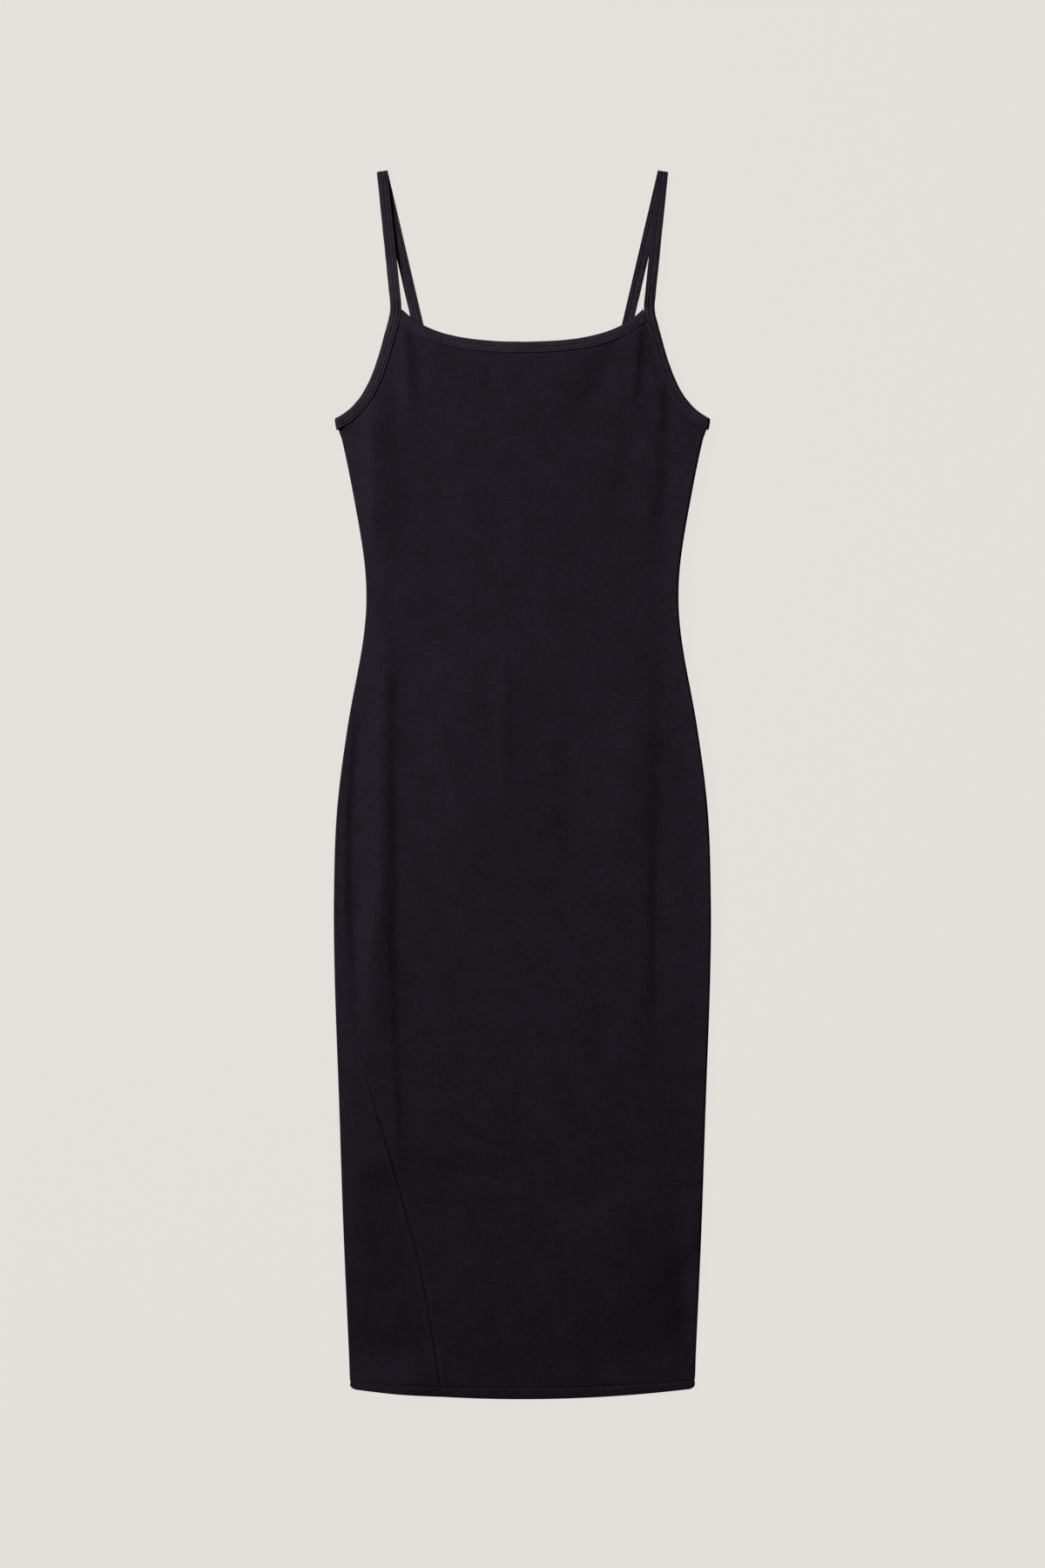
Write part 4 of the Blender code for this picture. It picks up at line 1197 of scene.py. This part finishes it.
def thread(name, colour):
    """Twisted thread: its plies show as fine slanting stripes, lighter on each ply and darker between them, painted
    light and shade of ridges that the surface doesn't have; its roughness follows the same stripes.
    """
    made, tree, shader = plain_finish(name)
    fill(shader, Specular_IOR_Level=0.10, Sheen_Weight=0.05, Sheen_Roughness=0.4)
    place = node(tree, "ShaderNodeTexCoord")
    plies = node(tree, "ShaderNodeTexWave")
    fill(plies, Scale=900.0, Distortion=1.5)
    # Painted light and shade: the thread's colour is darker between its plies and lighter on them.
    between, painted_highlight_on_ply = 0.72, 1.18  # shares of the thread's colour
    ramp = blend(tree, [between * part for part in colour], [painted_highlight_on_ply * part for part in colour])
    gloss = math_node(tree, "MULTIPLY_ADD", plies.outputs["Fac"], 0.15, 0.60)
    tree.links.new(gloss, shader.inputs["Roughness"])
    join(
        tree,
        (place, "Object", plies, "Vector"),
        (plies, "Fac", ramp, "Factor"),
        (ramp, "Result", shader, "Base Color"),
    )
    return made


stitches = stitch_tree()


def stitching(name, paths, finish, **sizes):
    """Lays stitches along paths and returns them as one plain mesh."""
    mesh = bpy.data.meshes.new(name + "_paths")
    edges, start = [], 0
    for path in paths:
        edges += [(start + k, start + k + 1) for k in range(len(path) - 1)]
        start += len(path)
    mesh.from_pydata(np.concatenate(paths).tolist(), edges, [])
    guide = in_scene(name + "_paths", mesh)
    layer = guide.modifiers.new("stitches", "NODES")
    layer.node_group = stitches
    values = {item.name: item.identifier for item in stitches.interface.items_tree if item.in_out == "INPUT"}
    layer[values["Finish"]] = finish
    for key, value in sizes.items():
        layer[values[key]] = value
    shown = guide.evaluated_get(bpy.context.evaluated_depsgraph_get())
    made = bpy.data.meshes.new_from_object(shown)
    made.name = name
    bpy.data.objects.remove(guide)
    piece = in_scene(name, made)
    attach(piece, "root")
    return piece


binding_thread = thread("binding thread", (0.0185, 0.0158, 0.0232))
hem_thread = thread("hem thread", (0.0085, 0.0070, 0.0110))
stitching("neck_stitching", neck_seams, binding_thread, Thread=0.55 * MM, Seed=7)
stitching("strip_stitching", strip_seams, binding_thread, Thread=0.55 * MM, Seed=8)


HEM_STITCHES_END = 1.5 * MM  # they stop this far from the seams
HEM_STITCHES_RISE = 0.10 * MM
HEM_STITCHES_REST = 0.23 * MM  # their middle is at least this high where the back rests on them
AT_TWISTED_SEAM = -0.58  # height along Y where they meet the twisted seam


def hem_path(layer, start, end):
    """Row of stitches along the hem, between two distances across a layer."""
    across = spaced(start, end, 1.5 * MM)
    y = stitched_height(folded_across(across, np.full(len(across), HEM_MIDDLE + HEM_BOW + HEM_DEPTH)))
    half = flat_half(y)
    lift = front_lift(across, y) if layer > 0 else insert_lift(across, y)
    path = tube(layer, across, y, CLOTH / 2 + lift + HEM_STITCHES_RISE, half)
    path[:, 2] = np.maximum(path[:, 2], HEM_STITCHES_REST)
    return path


at_side, at_twisted = float(side_seam(HEM_CORNER)), float(twisted_seam(AT_TWISTED_SEAM))
hem_left = at_side - HEM_STITCHES_END
hem_seams = [
    hem_path(1, HEM_STITCHES_END - at_twisted, hem_left),
    hem_path(-1, at_twisted - 2 * at_side + HEM_STITCHES_END, hem_left),
]
stitching("hem_stitching", hem_seams, hem_thread, Thread=0.4 * MM, Length=1.9 * MM, Seed=9)

# ------------------------------------------------------------
# Ground, light and camera. The dress lies on a pale sheet. A large soft light stands beyond its right shoulder, and
# a weak one fills in from above. The camera looks straight down.

GROUND_HALF = 40.0
GROUND_LEVEL = -0.4 * MM
GLOW = (0.750, 0.742, 0.706)  # of the sheet and of the backdrop, as the camera sees them
GROUND_BOUNCE = 0.03  # share of the sheet's glow that reaches the dress
BACKDROP_BOUNCE = 0.0245  # and of the backdrop's


def glow(tree, bounce, shader, entry):
    """Gives a shader the whole glow for the camera and a share of it for everything else."""
    rays = node(tree, "ShaderNodeLightPath")
    colour = blend(tree, [bounce * part for part in GLOW], GLOW)
    join(tree, (rays, "Is Camera Ray", colour, "Factor"), (colour, "Result", shader, entry))


corners = [(x * GROUND_HALF, y * GROUND_HALF, GROUND_LEVEL) for x, y in ((-1, -1), (1, -1), (1, 1), (-1, 1))]
ground_mesh = bpy.data.meshes.new("ground")
ground_mesh.from_pydata(corners, [], [(0, 1, 2, 3)])
ground = in_scene("ground", ground_mesh)
ground_finish, ground_tree, ground_shader = plain_finish("pale sheet")
fill(ground_shader, Base_Color=(0.012, 0.012, 0.012, 1.0), Roughness=1.0, Specular_IOR_Level=0.0, Emission_Strength=1.0)
glow(ground_tree, GROUND_BOUNCE, ground_shader, "Emission Color")
ground_mesh.materials.append(ground_finish)


def area_light(name, place, aim, size, power, colour, spread):
    lamp = bpy.data.lights.new(name, "AREA")
    lamp.spread = math.radians(spread)
    lamp.shape = "DISK"
    lamp.size = size
    lamp.energy = power
    lamp.color = colour
    stand = in_scene(name, lamp)
    stand.location = place
    direction = Vector(aim) - Vector(place)
    stand.rotation_euler = direction.to_track_quat("-Z", "Y").to_euler()


WARM, COOL = (1.0, 0.985, 0.97), (0.97, 0.98, 1.0)
area_light("key light", (-2.1, 1.6, 1.75), aim=(0.0, 0.05, 0.0), size=0.9, power=32.3, colour=WARM, spread=85.0)
area_light("fill light", (0.1, 0.15, 1.6), aim=(0.0, 0.1, 0.0), size=1.0, power=1.65, colour=COOL, spread=180.0)

world = bpy.data.worlds.new("studio")
world.use_nodes = True
glow(world.node_tree, BACKDROP_BOUNCE, world.node_tree.nodes["Background"], "Color")
bpy.context.scene.world = world

FRAME_HEIGHT = 1.532  # length along Y that the camera sees, at this level over the ground
FRAME_LEVEL = 0.004
FRAME_SHIFT = 0.001  # the camera stands this far along Y from over the dress's middle
LENS = 85.0
SENSOR = 36.0
middle = [(low + high) / 2 for low, high in zip(*cad_box)]
lens = bpy.data.cameras.new("camera")
lens.lens = LENS
lens.sensor_width = SENSOR
lens.sensor_fit = "AUTO"
lens.dof.use_dof = False
camera = in_scene("camera", lens)
camera.location = (middle[0], middle[1] + FRAME_SHIFT, FRAME_LEVEL + FRAME_HEIGHT * LENS / SENSOR)
bpy.context.scene.camera = camera
bpy.context.scene.view_settings.view_transform = "Standard"
bpy.context.scene.view_settings.look = "None"
